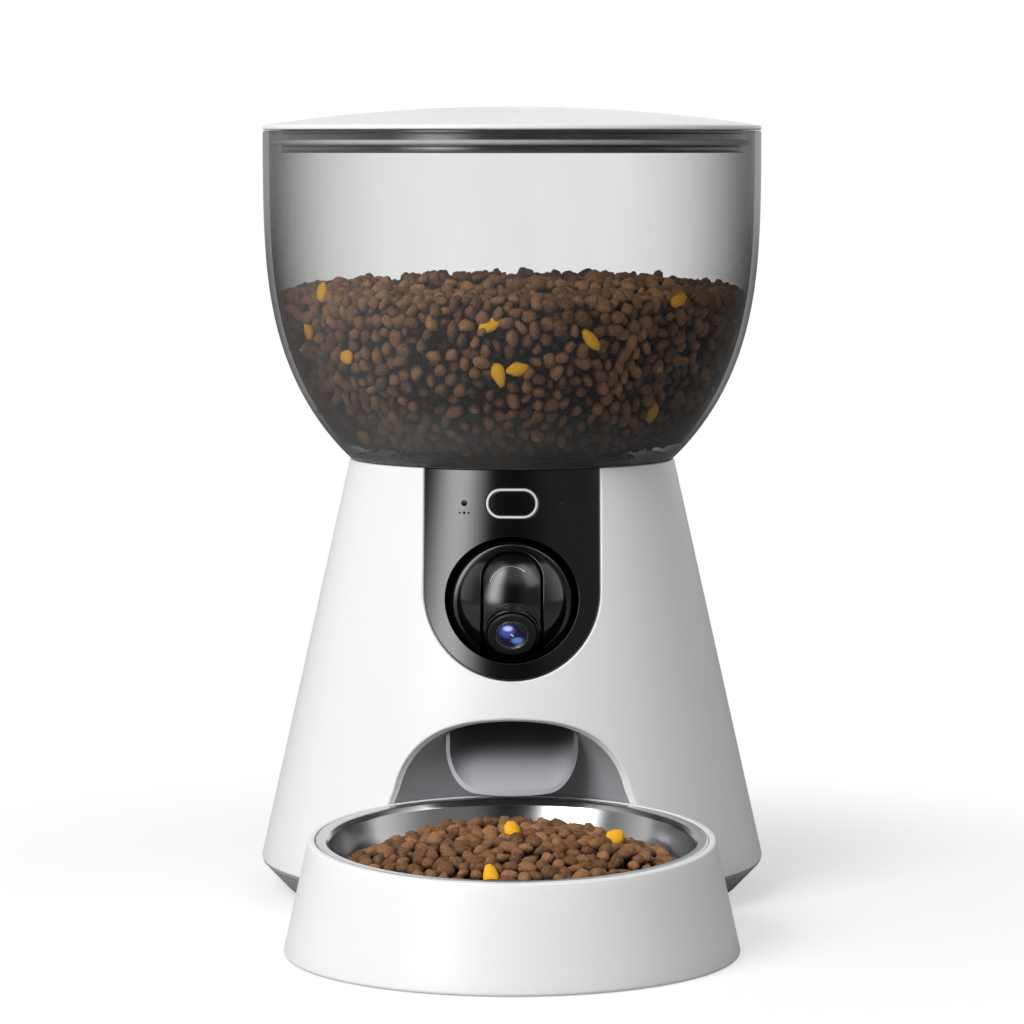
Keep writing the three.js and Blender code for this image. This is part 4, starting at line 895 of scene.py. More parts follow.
# %% Face plate, light ring and button
PLATE_DEEP, PLATE_INSET = 2.2, 0.3
RECESS_HALF, RECESS_HIGH, RECESS_Z = 26, 24.1, 125
PILL_HALF, PILL_HIGH, PILL_STROKE, BUTTON_Z = 10.2, 5.8, 1.0, 161.8
PILL_STEPS = 24
HOLE_X, MIC_R, LAMP_R = 18.6, 1.0, 0.7
PIN_HOLES = ((-1.7, 0.22), (0, 0.34), (1.7, 0.22))  # places and radii, in a row under the microphone's hole
PIN_HOLES_DROP = 3.7
plate_half, plate_drop = PLATE_HALF - PLATE_INSET, PLATE_ROUND - PLATE_INSET
plate_top = TOP_Z - CLEARANCE
plate_side = [(-plate_half, PLATE_ROUND_Z + (plate_top - PLATE_ROUND_Z) * k / 16) for k in range(16, 0, -1)]
sweep = [math.pi * (1 + k / 48) for k in range(49)]
plate_foot = [(plate_half * math.cos(a), PLATE_ROUND_Z + plate_drop * math.sin(a)) for a in sweep]
plate_head = [(plate_half * (1 - k / 12), plate_top) for k in range(1, 24)]
plate_outline = plate_side + plate_foot + [(-x, z) for x, z in reversed(plate_side)] + plate_head
plate_holes = [ellipse(RECESS_HALF, RECESS_HIGH, RECESS_Z), pill(-CLEARANCE)]
plate_holes += [ellipse(r, r, BUTTON_Z, 20, x) for r, x in ((MIC_R, -HOLE_X), (LAMP_R, HOLE_X))]
plate_holes += [ellipse(r, r, BUTTON_Z - PIN_HOLES_DROP, 12, x - HOLE_X) for x, r in PIN_HOLES]
face_plate = raw("face_plate_skin", sheet(plate_outline, plate_holes, PLATE_DEEP, 0.5, hole_lip=0.3))


def plate_normal(place):
    """The cone's own normal at a place in metres."""
    return Vector((place.x, place.y - AXIS_Y * MM, 0)).normalized() + Vector((0, 0, SLOPE))


fit(follow(face_plate, plate_normal, 12), "plate_black", "housing", "black_gloss", "face_plate")
ring_sheet = sheet(pill(0.12), [pill(PILL_STROKE)], 1.8, 0.22, pitch=0.8)
piece("light_ring_pill", ring_sheet, "light_ring_white", "housing", "light_plastic", "light_ring")
button = raw("feed_button_cap", sheet(pill(PILL_STROKE + 0.2), [], 3.0, 0.4, pitch=1.0))
fit(follow(button, plate_normal, 12), "plate_black", "button", "black_gloss", "feed_button")
print("the plate has", len(face_plate.data.polygons), "faces")

# %% [markdown]
# ## The camera
# The camera is a ball that pans, with a slot down its front where a narrow barrel tilts and carries the
# lens. The ball is black gloss like the plate, so its shape is told by edges: a rounded bead runs along the
# slot, a raised collar frames the ball's front, the barrel has soft shoulders with one bright arc of plated
# steel that stands in for a highlight, a painted highlight, and the lens sits in stepped rings. A dark cup
# closes the recess behind the ball.

# %% Camera ball with its slot
SLOT_HALF, SLOT_TOP, SLOT_CORNER = 12, 20.2, 10.5
SLOT_GAP = 0.4
BEAD, BEAD_FOOT = 0.45, -19
BALL_WALL = 1.2
CHEEK_R, CHEEK_X, CHEEK_THICK = 20, 12.4, 1.2
PIN_R = 2.3
BALL_BACK = moved(box_shape((-30, 13, -30), (30, 40, 30)), BALL)


def slot_outline():
    """The slot as (x, z) about the ball's middle, from its right foot over the top to its left foot."""
    half, top, corner = SLOT_HALF + SLOT_GAP, SLOT_TOP + SLOT_GAP, SLOT_CORNER + SLOT_GAP
    line = [(half, -BALL_R - 4)]
    for a in quarter(16):
        line.append((half - corner + corner * math.cos(a), top - corner + corner * math.sin(a)))
    return line + [(-x, z) for x, z in reversed(line)]


def ball_normal(place):
    return (place / MM - Vector((0, AXIS_Y, 0)) - BALL).normalized()


def on_ball(x, z, radius):
    return BALL + Vector((x, -math.sqrt(max(radius * radius - x * x - z * z, 0)), z))


def tube(path, radius, sides=10):
    """A round bead along a path over the ball."""
    rings = []
    for i, here in enumerate(path):
        along = (path[min(i + 1, len(path) - 1)] - path[max(i - 1, 0)]).normalized()
        out = (here - BALL).normalized()
        across = along.cross(out).normalized()
        out = across.cross(along)
        angles = [TURN * k / sides for k in range(sides)]
        rings.append([here + (across * math.cos(a) + out * math.sin(a)) * radius for a in angles])
    return loft([[path[0]], *rings, [path[-1]]])


slot_line = slot_outline()
slot_shape = moved(prism(slot_line, -40, 0), BALL)
head = raw("camera_ball", moved(sphere(BALL_R), BALL))
cut(head, moved(sphere(BALL_R - BALL_WALL, 40, 80), BALL), BALL_BACK, slot_shape)
follow(head, ball_normal, 9)
slot_side = slot_line[0][0]
straight = [BEAD_FOOT + (SLOT_TOP - SLOT_CORNER + 18.4) * k / 28 for k in range(29)]
dense = [(slot_side, z) for z in straight] + slot_line[1:-1] + [(-slot_side, z) for z in reversed(straight)]
bead = smooth(raw("slot_bead", tube([on_ball(x, z, BALL_R - BEAD) for x, z in dense], BEAD)), 60)
disc = turned([(0, 0), (CHEEK_R, 0, 0.2), (CHEEK_R, CHEEK_THICK, 0.2), (0, CHEEK_THICK)], 96, "X")
cheeks = []
for start, pin_x in ((-CHEEK_X - CHEEK_THICK, -13), (CHEEK_X, 13)):
    cheek = raw("cheek", moved(disc, BALL + Vector((start, 0, 0))))
    pin_bore = rod(PIN_R, -3, 3, 32, "X", BALL + Vector((pin_x, 0, 0)))
    cheeks.append(smooth(cut(cheek, BALL_BACK, pin_bore)))
for thing in (head, bead, *cheeks):
    fit(thing, "camera_black", "camera_pan_head", "black_gloss", *(["pan_head"] if thing is head else []))
collar_line = [(21.2, -11.0), (21.2, -12.1, 0.15), (22.9, -11.55, 1), (23.75, -9.9, 0.3), (23.6, -6.3)]
ball_collar = raw("ball_collar", moved(turned(collar_line, 160, "Y"), BALL))
cut(ball_collar, slot_shape)
fit(smooth(ball_collar, 40), "camera_black", "camera_pan_head", "black_gloss")
print("the ball has", len(head.data.polygons), "faces")

# %% Tilting barrel, lens tube and rings
BARREL_R, BARREL_HALF, BARREL_WALL, BARREL_FOOT = 23.0, 11.6, 1.5, 6.0
SHOULDER = 1.3
BROW_R, BROW_BEAD = 22.93, 0.18
BROW_X, BROW_Z, BROW_SWEEP = -0.5, 6.6, 8.3  # the middle and radius of the bright arc
PITCH = math.radians(27)
aim = Matrix.Rotation(PITCH, 3, "X")


def aimed(profile):
    """A profile of (radius, reach from the ball's middle) turned about the lens's own axis."""
    flipped = [(r, -reach, *more) for r, reach, *more in profile]
    return moved(turned(flipped, axis="Y", steps=5), BALL, aim)


def barrel_section():
    """The barrel as (across, out): a slice of a ball with soft shoulders, and its side plates."""
    half, top = BARREL_HALF, math.sqrt(BARREL_R ** 2 - BARREL_HALF ** 2)
    foot = BARREL_FOOT
    crown = [(x, math.sqrt(BARREL_R ** 2 - x * x)) for x in (9.0 * (k / 7 - 1) for k in range(15))]
    outside = [(-half, foot), (-half, top, SHOULDER), *crown, (half, top, SHOULDER), (half, foot)]
    half, top = half - BARREL_WALL, top - BARREL_WALL
    return soften(outside, steps=5) + [(half, foot), (half, top), (-half, top), (-half, foot)]


section = barrel_section()
barrel_rings = []
for a in [math.radians(64 - 182 * k / 120) for k in range(121)]:
    barrel_rings.append([BALL + Vector((x, -r * math.cos(a), r * math.sin(a))) for x, r in section])
barrel = raw("barrel_skin", capped(barrel_rings))
cut(barrel, aimed([(0, 12), (9.9, 12), (9.9, 26), (0, 26)]))
fit(smooth(barrel, 40), "camera_black", "camera_barrel", "black_gloss", "tilt_barrel")
hub = turned([(PIN_R, 0), (6.2, 0), (6.2, BARREL_WALL, 0.2), (PIN_R, BARREL_WALL)], 48, "X")
for x in (-BARREL_HALF, BARREL_HALF - BARREL_WALL):
    piece("hub", moved(hub, BALL + Vector((x, 0, 0))), "camera_black", "camera_barrel", "black_gloss")
# the arc is a thin bead of plated steel that stands in for a highlight on the barrel: a painted highlight
brow_arc = [math.radians(162 - 112 * k / 40) for k in range(41)]
brow_path = [on_ball(BROW_X + BROW_SWEEP * math.cos(a), BROW_Z + BROW_SWEEP * math.sin(a), BROW_R)
             for a in brow_arc]
piece("barrel_brow", tube(brow_path, BROW_BEAD), "plated_steel", "camera_barrel", "steel")
LENS_RINGS = {
    "lens_pod": ("camera_black", "black_gloss", [], [
        (8.5, 12), (8.5, 21.4, 0.3), (9.0, 22.6, 0.3), (9.6, 23.5, 0.25), (10.35, 23.55, 0.35), (10.4, 12)]),
    "lens_step_ring": ("camera_black", "black_gloss", [], [
        (10.95, 18.4), (10.95, 20.35, 0.2), (11.45, 20.1, 0.2), (11.45, 18.4)]),
    "lens_bezel_ring": ("inner_black", "black_gloss", ["lens_bezel"], [
        (9.35, 23.7), (9.35, 24.4, 0.3), (8.9, 24.8, 0.3), (6.6, 24.95, 0.2), (6.4, 24.7, 0.1), (6.4, 23.7)]),
    "lens_keeper_ring": ("plated_steel", "steel", [], [
        (5.98, 23.75), (5.98, 24.75, 0.1), (6.3, 24.75, 0.1), (6.3, 23.75)]),
    "lens_tube_steps": ("inner_black", "black_plastic", ["lens_tube"], [
        (4.4, 9.2), (4.4, 12), (4.7, 12), (4.7, 15), (5.0, 15), (5.0, 18), (5.3, 18), (5.3, 23.3, 0.2),
        (8.2, 23.3, 0.3), (8.2, 9.2, 0.3)]),
}
for name, (finish, slot, nodes, profile) in LENS_RINGS.items():
    piece(name, aimed(profile), finish, "camera_barrel", slot, *nodes)
print("barrel, arc and", len(LENS_RINGS), "rings of the lens made")

# %% [markdown]
# ## Lens coating
# A coated lens looks almost black. Its coloured reflections are painted into the glass's colour, as painted
# reflections that stay put on the glass: violet-blue with a pale middle at the upper left, and a clearer
# blue at the lower right. Soft round masks about the lens's own axis give them, with faint rings of the iris
# inside and one slanted painted glint, and the colour glows a little as painted light.

# %% Coated glass
GLASS_REACH = 24.4
IRIS_STEP = 1.15
# each entry is a painted reflection on the glass
PAINTED_REFLECTIONS = (
    ((-1.9, 1.6, 4.0, 3.8), (0.06, 0.085, 0.4)),
    ((-1.6, 2.9, 2.4, 1.5), (0.52, 0.6, 1.0)),
    ((2.0, -2.6, 3.0, 2.1), (0.1, 0.25, 0.62)),
)  # each patch: its place, its half width and half height, and its colour
glass = Finish("coated_glass")
gx, gy, gz = glass.axes()
up = Vector((0, -math.sin(PITCH), math.cos(PITCH)))
lens_middle = (BALL + Vector((0, AXIS_Y, 0)) + aim @ Vector((0, -GLASS_REACH, 0))) * MM
rise = (gy - lens_middle.y) * up.y + (gz - lens_middle.z) * up.z


def patch(x, z, width, height):
    """A soft round mask, 1 in its middle, at a place on the glass in millimetres."""
    away = ((gx - x * MM) / (width * MM)) ** 2.0 + ((rise - z * MM) / (height * MM)) ** 2.0
    return away.ease(1, 0)


away = (gx * gx + rise * rise) ** 0.5
waves = away * (TURN / (IRIS_STEP * MM))
iris = waves.math("SINE", waves).step(0.55, 1)
painted_reflection = glass.blend(iris * 0.5, (0.008, 0.01, 0.026), (0.03, 0.04, 0.08))
for place, color in PAINTED_REFLECTIONS:
    painted_reflection = glass.blend(patch(*place), painted_reflection, color)
# a slanted painted highlight: the glint
painted_glint_mask = ((gx + rise) / (0.32 * MM)) ** 2.0 + ((gx - rise) / (1.5 * MM)) ** 2.0
painted_glass_light = glass.blend(painted_glint_mask.step(1, 0.2), painted_reflection, (0.9, 0.9, 1.0))
# the glass's colour also glows, as painted light
glass.surface(painted_glass_light, glass.noise(3, 2) * 0.04 + 0.04, glass.bump(glass.noise(2, 1), 0.002), Coat_Weight=1.0,
              Coat_Roughness=0.02, Emission_Color=painted_glass_light, Emission_Strength=0.4)
window = aimed([(0, 23.7), (5.9, 23.7, 0.1), (5.9, 24.2, 0.15), (4.6, 24.5, 1), (2.5, 24.72, 1), (0, 24.8)])
piece("lens_window_glass", window, "coated_glass", "camera_barrel", "lens_glass", "lens_window", crisp=50)
print("the glass has", len(PAINTED_REFLECTIONS), "patches of colour")

# %% Camera cup
CUP_IN, CUP_OUT, CUP_FRONT = 26.2, 27.7, -16
CUP_INSET = 2.85  # its rim lies this far inside the cone
SEAT_IN, SEAT_OUT, SEAT_TOP = 5.3, 7.6, 29.3


def cup_arc(radius):
    return [(radius * math.sin(a), radius * math.cos(a)) for a in quarter(24)]


profile = cup_arc(CUP_IN) + [(CUP_IN, CUP_FRONT), (CUP_OUT, CUP_FRONT)] + cup_arc(CUP_OUT)[::-1]
cup = raw("camera_cup_bowl", moved(loft([around(r, y, 128, "Y") for r, y in profile]), BALL))
clipped(cup, cone_solid(CUP_INSET, 60, 172, 200))
cut(cup, rod(SEAT_IN, 0, 40, at=BALL))
fit(smooth(cup, 40), "inner_black", "housing", "black_plastic", "camera_cup")
seat_line = [(SEAT_IN, CUP_IN), (SEAT_OUT, CUP_IN), (SEAT_OUT, SEAT_TOP, 0.3), (SEAT_IN, SEAT_TOP, 0.2)]
piece("motor_seat", moved(turned(seat_line, 48), BALL), "inner_black", "housing", "black_plastic", crisp=40)
print("the cup has", len(cup.data.polygons), "faces")

# %% [markdown]
# ## Hopper and lid
# The hopper's wall is the shape everybody remembers: a neck as narrow as the body that opens in one sweep
# and runs nearly upright to the rim. One formula gives it, a flattened quarter ellipse. All its pieces are
# turned: the lid is a shallow crown with a rounded edge, and under it hang a dark skirt, a soft seal and
# the desiccant's box.

# %% Hopper
HOPPER_Z, HOPPER_HIGH, RIM_R, HOPPER_WALL = 175.2, 131, 100, 2.5
RISE_POWER, REACH_POWER = 3.56, 1.05  # 2 and 2 would be a true ellipse
MOUTH_R, SPIGOT_R, SPIGOT_DROP = 46.8, 49.5, 2.2


def hopper_r(z):
    """The hopper's outer radius at a height."""
    rise = min(max((z - HOPPER_Z) / HOPPER_HIGH, 0), 1)
    return TOP_R + (RIM_R - TOP_R) * (1 - (1 - rise) ** RISE_POWER) ** (1 / REACH_POWER)


levels = [HOPPER_Z + HOPPER_HIGH * (k / 56) ** 1.35 for k in range(57)]
outer_wall = [(hopper_r(z), z) for z in levels[1:-1]]
inner_wall = [(hopper_r(z) - HOPPER_WALL, z) for z in reversed(levels) if 181.5 < z < 305]
hopper_top, spigot_low = HOPPER_Z + HOPPER_HIGH, HOPPER_Z - SPIGOT_DROP
hopper_line = [(SPIGOT_R, spigot_low, 0.4), (SPIGOT_R, HOPPER_Z), (TOP_R, HOPPER_Z, 0.3), *outer_wall,
               (RIM_R, hopper_top, 0.9), (RIM_R - HOPPER_WALL, hopper_top, 0.9), *inner_wall,
               (TOP_R - HOPPER_WALL, 180.7, 2), (MOUTH_R, 177.7, 0.8), (MOUTH_R, spigot_low, 0.4)]
hopper = piece("hopper_bowl", turned(hopper_line, 160), "smoked_wall", "hopper", "smoked_plastic", "hopper",
               crisp=45)
print("the hopper has", len(hopper.data.polygons), "faces")

# %% Lid, skirt, seal and desiccant box
LID_Z, LID_EDGE, CROWN, LID_THICK = 306.5, 1.8, 7.5, 2.2
LID_FLAT_R, LID_IN_R = 98.4, 90


def crown_z(r):
    return LID_Z + LID_EDGE + CROWN * (1 - (r / RIM_R) ** 2)


lid_line = [(r, crown_z(r)) for r in (LID_FLAT_R * k / 26 for k in range(27))]
lid_line += [(RIM_R, LID_Z + LID_EDGE - 0.1, 0.9), (RIM_R, LID_Z, 0.5), (LID_IN_R, LID_Z, 0.5)]
lid_line += [(r, crown_z(r) - LID_THICK) for r in (LID_IN_R * k / 20 for k in range(20, -1, -1))]
collar_line = [(26.3, 307.2, 0.2), (28.3, 307.2, 0.4), (28.3, 314.1), (26.3, 314.1)]
skirt_line = [(91.2, 297.4, 0.3), (92.7, 297.4, 0.5), (92.7, 299.6, 0.15), (92.35, 300, 0.15),
              (92.35, 304.8, 0.15), (92.7, 305.2, 0.15), (92.7, 306.2), (91.2, 306.2)]
seal_line = [(93, 300.5, 0.4), (97.2, 300.5, 0.9), (97.2, 302.5, 0.9), (93, 302.5, 0.4)]
cup_line = [(0, 299.5), (26, 299.5, 1.2), (26, 312.5, 0.4), (24.5, 312.5, 0.4), (24.5, 301, 1), (0, 301)]
LID_PIECES = {
    "lid_crown": (turned(lid_line, 192), "lid_white", "white_plastic", ["lid_shell"], 50),
    "desiccant_collar": (turned(collar_line), "lid_white", "white_plastic", [], 32),
    "lid_skirt_band": (turned(skirt_line, 160), "turned_band", "dark_grey_plastic", ["lid_skirt"], 50),
    "lid_seal_ring": (turned(seal_line, 160), "silicone", "silicone", ["lid_seal"], 50),
    "desiccant_cup": (turned(cup_line), "lid_white", "white_plastic", ["desiccant_box"], 32),
}
for name, (shape, finish, slot, nodes, crisp) in LID_PIECES.items():
    piece(name, shape, finish, "lid", slot, *nodes, crisp=crisp)
print("the lid's crown stands", round(crown_z(0), 1), "above the table")

# %% [markdown]
# ## Bowl holder and steel bowl
# The holder tapers upwards and its rim is cut by a plane that leans 3 degrees to the front, so its rings go
# from level at the foot to leaning at the rim. The bowl hangs in a rebate there. It is pressed from sheet:
# a flat flange with a rolled edge, a wide round shoulder and a flat floor.

# %% Bowl holder
RIM_TILT = math.radians(3)
REBATE_R, SHELF, STEP_DEEP, SHELF_DEEP = 73.6, 4, 1.5, 4.5
FOOT_EDGE, TRAY_LIP, TRAY_WALL = 1.6, 0.8, 3
TRAY_ROWS = 8
turns = [TURN * k / 192 for k in range(192)]


def leaning(r, turn, lift):
    """A point of the leaning rim's own circle, about the body's axis."""
    across, ahead = r * math.cos(turn), r * math.sin(turn)
    y = ahead * math.cos(RIM_TILT) - lift * math.sin(RIM_TILT) - BOWL_BACK
    return across, y, ahead * math.sin(RIM_TILT) + lift * math.cos(RIM_TILT) + TRAY_RIM_Z


def rim_height(turn, drop=0.0):
    """Where the leaning plane, or one a drop below it, meets the holder's wall at a turn."""
    z = TRAY_RIM_Z
    for _ in range(6):
        lean = (tray_r(z) * math.sin(turn) + BOWL_BACK) * math.tan(RIM_TILT)
        z = TRAY_RIM_Z + lean - drop / math.cos(RIM_TILT)
    return z


def wall_ring(height, inset=0.0):
    """A ring on the wall, or set in from it, whose height at each turn is given by a rule."""
    ring = []
    for a in turns:
        z = height(a)
        r = tray_r(z) - inset
        ring.append((r * math.cos(a), r * math.sin(a), z))
    return ring


tray_rings = []
for angle in quarter(EDGE_STEPS):
    rise = FOOT_EDGE * (1 - math.cos(angle))
    tray_rings.append(wall_ring(lambda a: rise, FOOT_EDGE * (1 - math.sin(angle))))
for k in range(1, TRAY_ROWS + 1):
    part = k / TRAY_ROWS
    tray_rings.append(wall_ring(lambda a: FOOT_EDGE + (rim_height(a) - TRAY_LIP - FOOT_EDGE) * part))
for angle in quarter(EDGE_STEPS)[1:]:
    drop = TRAY_LIP * (1 - math.sin(angle))
    tray_rings.append(wall_ring(lambda a: rim_height(a) - drop, TRAY_LIP * (1 - math.cos(angle))))
rebate = soften([(REBATE_R + 0.9, 0), (REBATE_R, 0, 0.45), (REBATE_R, -STEP_DEEP),
                 (REBATE_R - SHELF, -STEP_DEEP, 0.4), (REBATE_R - SHELF, -SHELF_DEEP),
                 (REBATE_R - 1.5, -SHELF_DEEP)], steps=5)
tray_rings += [[leaning(r, a, lift) for a in turns] for r, lift in rebate]
tray_rings.append(wall_ring(lambda a: rim_height(a, SHELF_DEEP), TRAY_WALL))
tray_rings.append(wall_ring(lambda a: 0.0, TRAY_WALL))
tray = piece("bowl_holder_wall", moved(loft(tray_rings, wrap=True), (0, TRAY_Y, 0)), "white_satin",
             "bowl_holder", "white_plastic", "bowl_tray", crisp=45)
print("the holder has", len(tray.data.polygons), "faces")

# %% Steel bowl
BOWL_R, BOWL_DEEP, SHEET = 73.3, 31, 1.2
bowl_line = [(0, -BOWL_DEEP), (46.3, -BOWL_DEEP, 9), (66.0, -15.1, 25), (68.6, -2.9, 1.2),
             (69.3, -SHEET, 0.5), (BOWL_R, -SHEET, 0.55), (BOWL_R, 0, 0.6), (69.9, 0, 1.6),
             (68.2, -2.2, 1.6), (65, -14.4, 24), (45.7, SHEET - BOWL_DEEP, 8), (0, SHEET - BOWL_DEEP)]
bowl_seat = (0, TRAY_Y - BOWL_BACK, TRAY_RIM_Z)
bowl_shape = moved(turned(bowl_line, 224, steps=7), bowl_seat, Matrix.Rotation(RIM_TILT, 3, "X"))
bowl = piece("steel_bowl_pressing", bowl_shape, "bowl_steel", "bowl_holder", "stainless", "steel_bowl",
             crisp=40)
print("the bowl has", len(bowl.data.polygons), "faces")

# %% [markdown]
# ## Base, feet and the small parts
# The base is a dish with a notch for the bowl holder and a spigot that centres the shell. It is turned
# first, and the notch, foot pockets, screw holes and speaker holes are cut by booleans, as a toolmaker's
# inserts would form them.

# %% Base tray
FLOOR_R, FLOOR_Z, FLOOR_THICK, BASE_TOP = 91.1, 1.5, 2.5, 12.6
SPIGOT_OUT, SPIGOT_IN, SPIGOT_TOP = 2.8, 4.8, 18.6  # its two faces' insets from the cone, and its height
NOTCH_WALL = 2.5
FOOT_CIRCLE, FOOT_TURNS = 78, (-15, 60, 120, 195)
SCREW_CIRCLE, SCREW_TURNS = 82, (8, 38, 142, 172)
PILLARS = ((-27, 31), (27, 31), (-27, 71), (27, 71))


def recess_solid(grow):
    """The round recess grown by a wall, from under the base up to its crown."""
    low = -6
    foot = [(0, low), (tray_r(low) + TRAY_GAP + grow, low)]
    crown = [(0, DOME_Z + DOME_R + grow)]
    return moved(turned(foot + recess_path(grow, 0, 6) + crown, 200), (0, TRAY_Y, 0))


def on_circle(r, degrees):
    return r * math.cos(math.radians(degrees)), r * math.sin(math.radians(degrees))


floor_z, top_r, spigot_r = FLOOR_Z + FLOOR_THICK, cone_r(BASE_TOP), cone_r(SPIGOT_TOP)
dish_side = [(0, FLOOR_Z), (FLOOR_R, FLOOR_Z, 1.5), (FOOT_R - 0.02, BASE_TOP, 0.4),
             (top_r - SPIGOT_OUT, BASE_TOP)]
dish_line = dish_side + [(spigot_r - SPIGOT_OUT, SPIGOT_TOP, 0.5), (spigot_r - SPIGOT_IN, SPIGOT_TOP, 0.4),
                         (top_r - SPIGOT_IN, BASE_TOP), (FLOOR_R - FLOOR_THICK, floor_z, 1), (0, floor_z)]
dish = raw("base_dish", turned(dish_line, 200))
notch = raw("notch_wall", recess_solid(NOTCH_WALL))
cut(notch, recess_solid(0))
clipped(notch, turned(dish_side + [(spigot_r - SPIGOT_OUT, SPIGOT_TOP), (0, SPIGOT_TOP)], 200))
cut(dish, recess_solid(NOTCH_WALL / 2))
shaped(dish, [notch], "UNION")
pockets = [(8.3, 2.5, 48, *on_circle(FOOT_CIRCLE, a)) for a in FOOT_TURNS]
for a in SCREW_TURNS:
    x, y = on_circle(SCREW_CIRCLE, a)
    pockets += [(3.5, 2.9, 32, x, y), (1.8, 9, 24, x, y)]
for k in range(6):
    x, y = on_circle(8, 60 * k)
    pockets.append((1.2, 9, 20, x - 50, y + 24))
for radius, top, segments, x, y in pockets:
    cut(dish, rod(radius, -3, top, segments, at=(x, y, 0)))
fit(smooth(dish, 35), "base_grey", "housing", "grey_plastic", "base_tray")
for k, (x, y) in enumerate(PILLARS):
    pillar = rod(3, floor_z, 8.0, at=(x, y, 0))
    piece(f"board_pillar_{k + 1}", pillar, "base_grey", "housing", "grey_plastic")
print("the base has", len(dish.data.polygons), "faces")

# %% Feet, screws and inlet
FOOT_LINE = [(0, 0.15), (5.6, 0.15, 0.2), (6.2, 0, 0.2), (8, 0, 0.8), (8, 2.2, 0.3), (0, 2.2)]
SCREW_LINE = [(0, 1.2), (2.6, 1.25, 0.5), (3.2, 1.7, 0.3), (3.2, 2.6, 0.1), (1.5, 2.6), (1.5, 15.8, 0.3),
              (0.6, 16.6), (0, 16.6)]
INLET_LINE = [(0, 84.1), (7.2, 84.1, 0.4), (7.2, 92), (INLET_R, 92), (INLET_R, 104), (0, 104)]
INLET_AT = (0, 0, INLET_Z)
for k, a in enumerate(FOOT_TURNS):
    foot = moved(turned(FOOT_LINE, 64), (*on_circle(FOOT_CIRCLE, a), 0))
    piece(f"foot_{k + 1}", foot, "foot_rubber", "housing", "rubber", f"rubber_foot_{k + 1}")
for k, a in enumerate(SCREW_TURNS):
    x, y = on_circle(SCREW_CIRCLE, a)
    screw = raw(f"screw_{k + 1}", moved(turned(SCREW_LINE, 40), (x, y, 0)))
    for dx, dy in ((1.9, 0.35), (0.35, 1.9)):
        cut(screw, box_shape((x - dx, y - dy, 0), (x + dx, y + dy, 2.1)))
    fit(smooth(screw), "plated_steel", "housing", "steel", f"base_screw_{k + 1}")
inlet = raw("power_inlet_socket", moved(turned(INLET_LINE, 72, "Y"), INLET_AT))
clipped(inlet, cone_solid(0, 14, 60, 240))
wall_room = raw("wall_room", turned([(cone_r(14) - 2.8, 14), (cone_r(14) + 9, 14), (cone_r(60) + 9, 60),
                                     (cone_r(60) - 2.8, 60)], 200))
cut(wall_room, rod(INLET_R, 70, 120, 72, "Y", INLET_AT))
shaped(inlet, [wall_room])
cut(inlet, rod(3.2, 90, 110, 48, "Y", INLET_AT))
fit(smooth(inlet), "inner_black", "housing", "black_plastic", "power_inlet")
pin = turned([(0, 89), (1.1, 89), (1.1, 96.2, 0.5), (0, 96.3)], 32, "Y")
piece("inlet_pin", moved(pin, INLET_AT), "plated_steel", "housing", "black_plastic")
print("feet, screws and inlet made")

# %% Dispenser and the rest
DRUM_R, DRUM_TOP = 46, 172.1
ROTOR_LOW, PADDLE_TOP = 151.3, 169.3
drum = raw("dispenser_drum", turned([
    (0, DRUM_LOW), (48.2, DRUM_LOW, 1), (48.2, 169.6, 0.8), (60.5, 169.6, 0.4), (60.5, DRUM_TOP, 0.4),
    (DRUM_R, DRUM_TOP, 0.6), (DRUM_R, 151, 1.5), (0, 151)], 128))
cut(drum, box_shape((-21, -31.5, 140), (21, -13, 160)))
cut(drum, rod(7, 140, 160))
for a in (40, 140, -35, -145):
    cut(drum, rod(1.7, 160, 180, 24, at=(*on_circle(55.5, a), 0)))
fit(smooth(drum), "drum_grey", "housing", "dark_grey_plastic", "dispenser_housing")
hub = turned([(4.3, ROTOR_LOW), (9, ROTOR_LOW, 0.6), (9, 171.3, 2), (4, 175.8, 1.5), (0, 175.8), (0, 171.3),
              (4.3, 171.3)], 64)
piece("rotor_hub", hub, "silicone", "rotor", "silicone", "portion_rotor")
blade = soften([(8.4, -1.1), (45.2, -1.1, 1.0), (45.2, 1.1, 1.0), (8.4, 1.1)], loop=True, steps=5)
paddle = capped([[(u, v, z) for u, v in blade] for z in (ROTOR_LOW, PADDLE_TOP)])
for k in range(6):
    turn = Matrix.Rotation(math.radians(60 * k), 3, "Z")
    piece(f"rotor_paddle_{k + 1}", moved(paddle, turn=turn), "silicone", "rotor", "silicone")
pipe_end = math.sqrt((cone_r(BUTTON_Z) - 0.45) ** 2 - HOLE_X ** 2)
pipe = turned([(0, -61.9), (0.6, -61.9), (0.6, 0.25 - pipe_end, 0.2), (0, 0.1 - pipe_end)], 24, "Y")
piece("light_pipe", moved(pipe, (HOLE_X, 0, BUTTON_Z)), "camera_black", "housing", "light_plastic")

housing_screws = [f"housing_screw_{k}" for k in range(1, 5)]
REST = {
    "plated_steel": ["rotor_shaft", "motor_pinion", "gear_motor", "microphone", "pan_motor", "tilt_motor",
                     "tilt_pin", *housing_screws],
    "acetal": ["shaft_bush", "drive_gear"],
    "inner_black": ["gear_plate", "speaker", "button_switch"],
    "circuit_lacquer": ["main_board", "button_board", "sensor_board"],
    "light_ring_white": ["status_light"],
    "sachet_cloth": ["desiccant_pack"],
}
for finish, names in REST.items():
    for name in names:
        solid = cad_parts[name]
        solid.data.materials.clear()
        solid.data.materials.append(FINISHES[finish])
print("solids that keep their own mesh:", sum(len(names) for names in REST.values()))
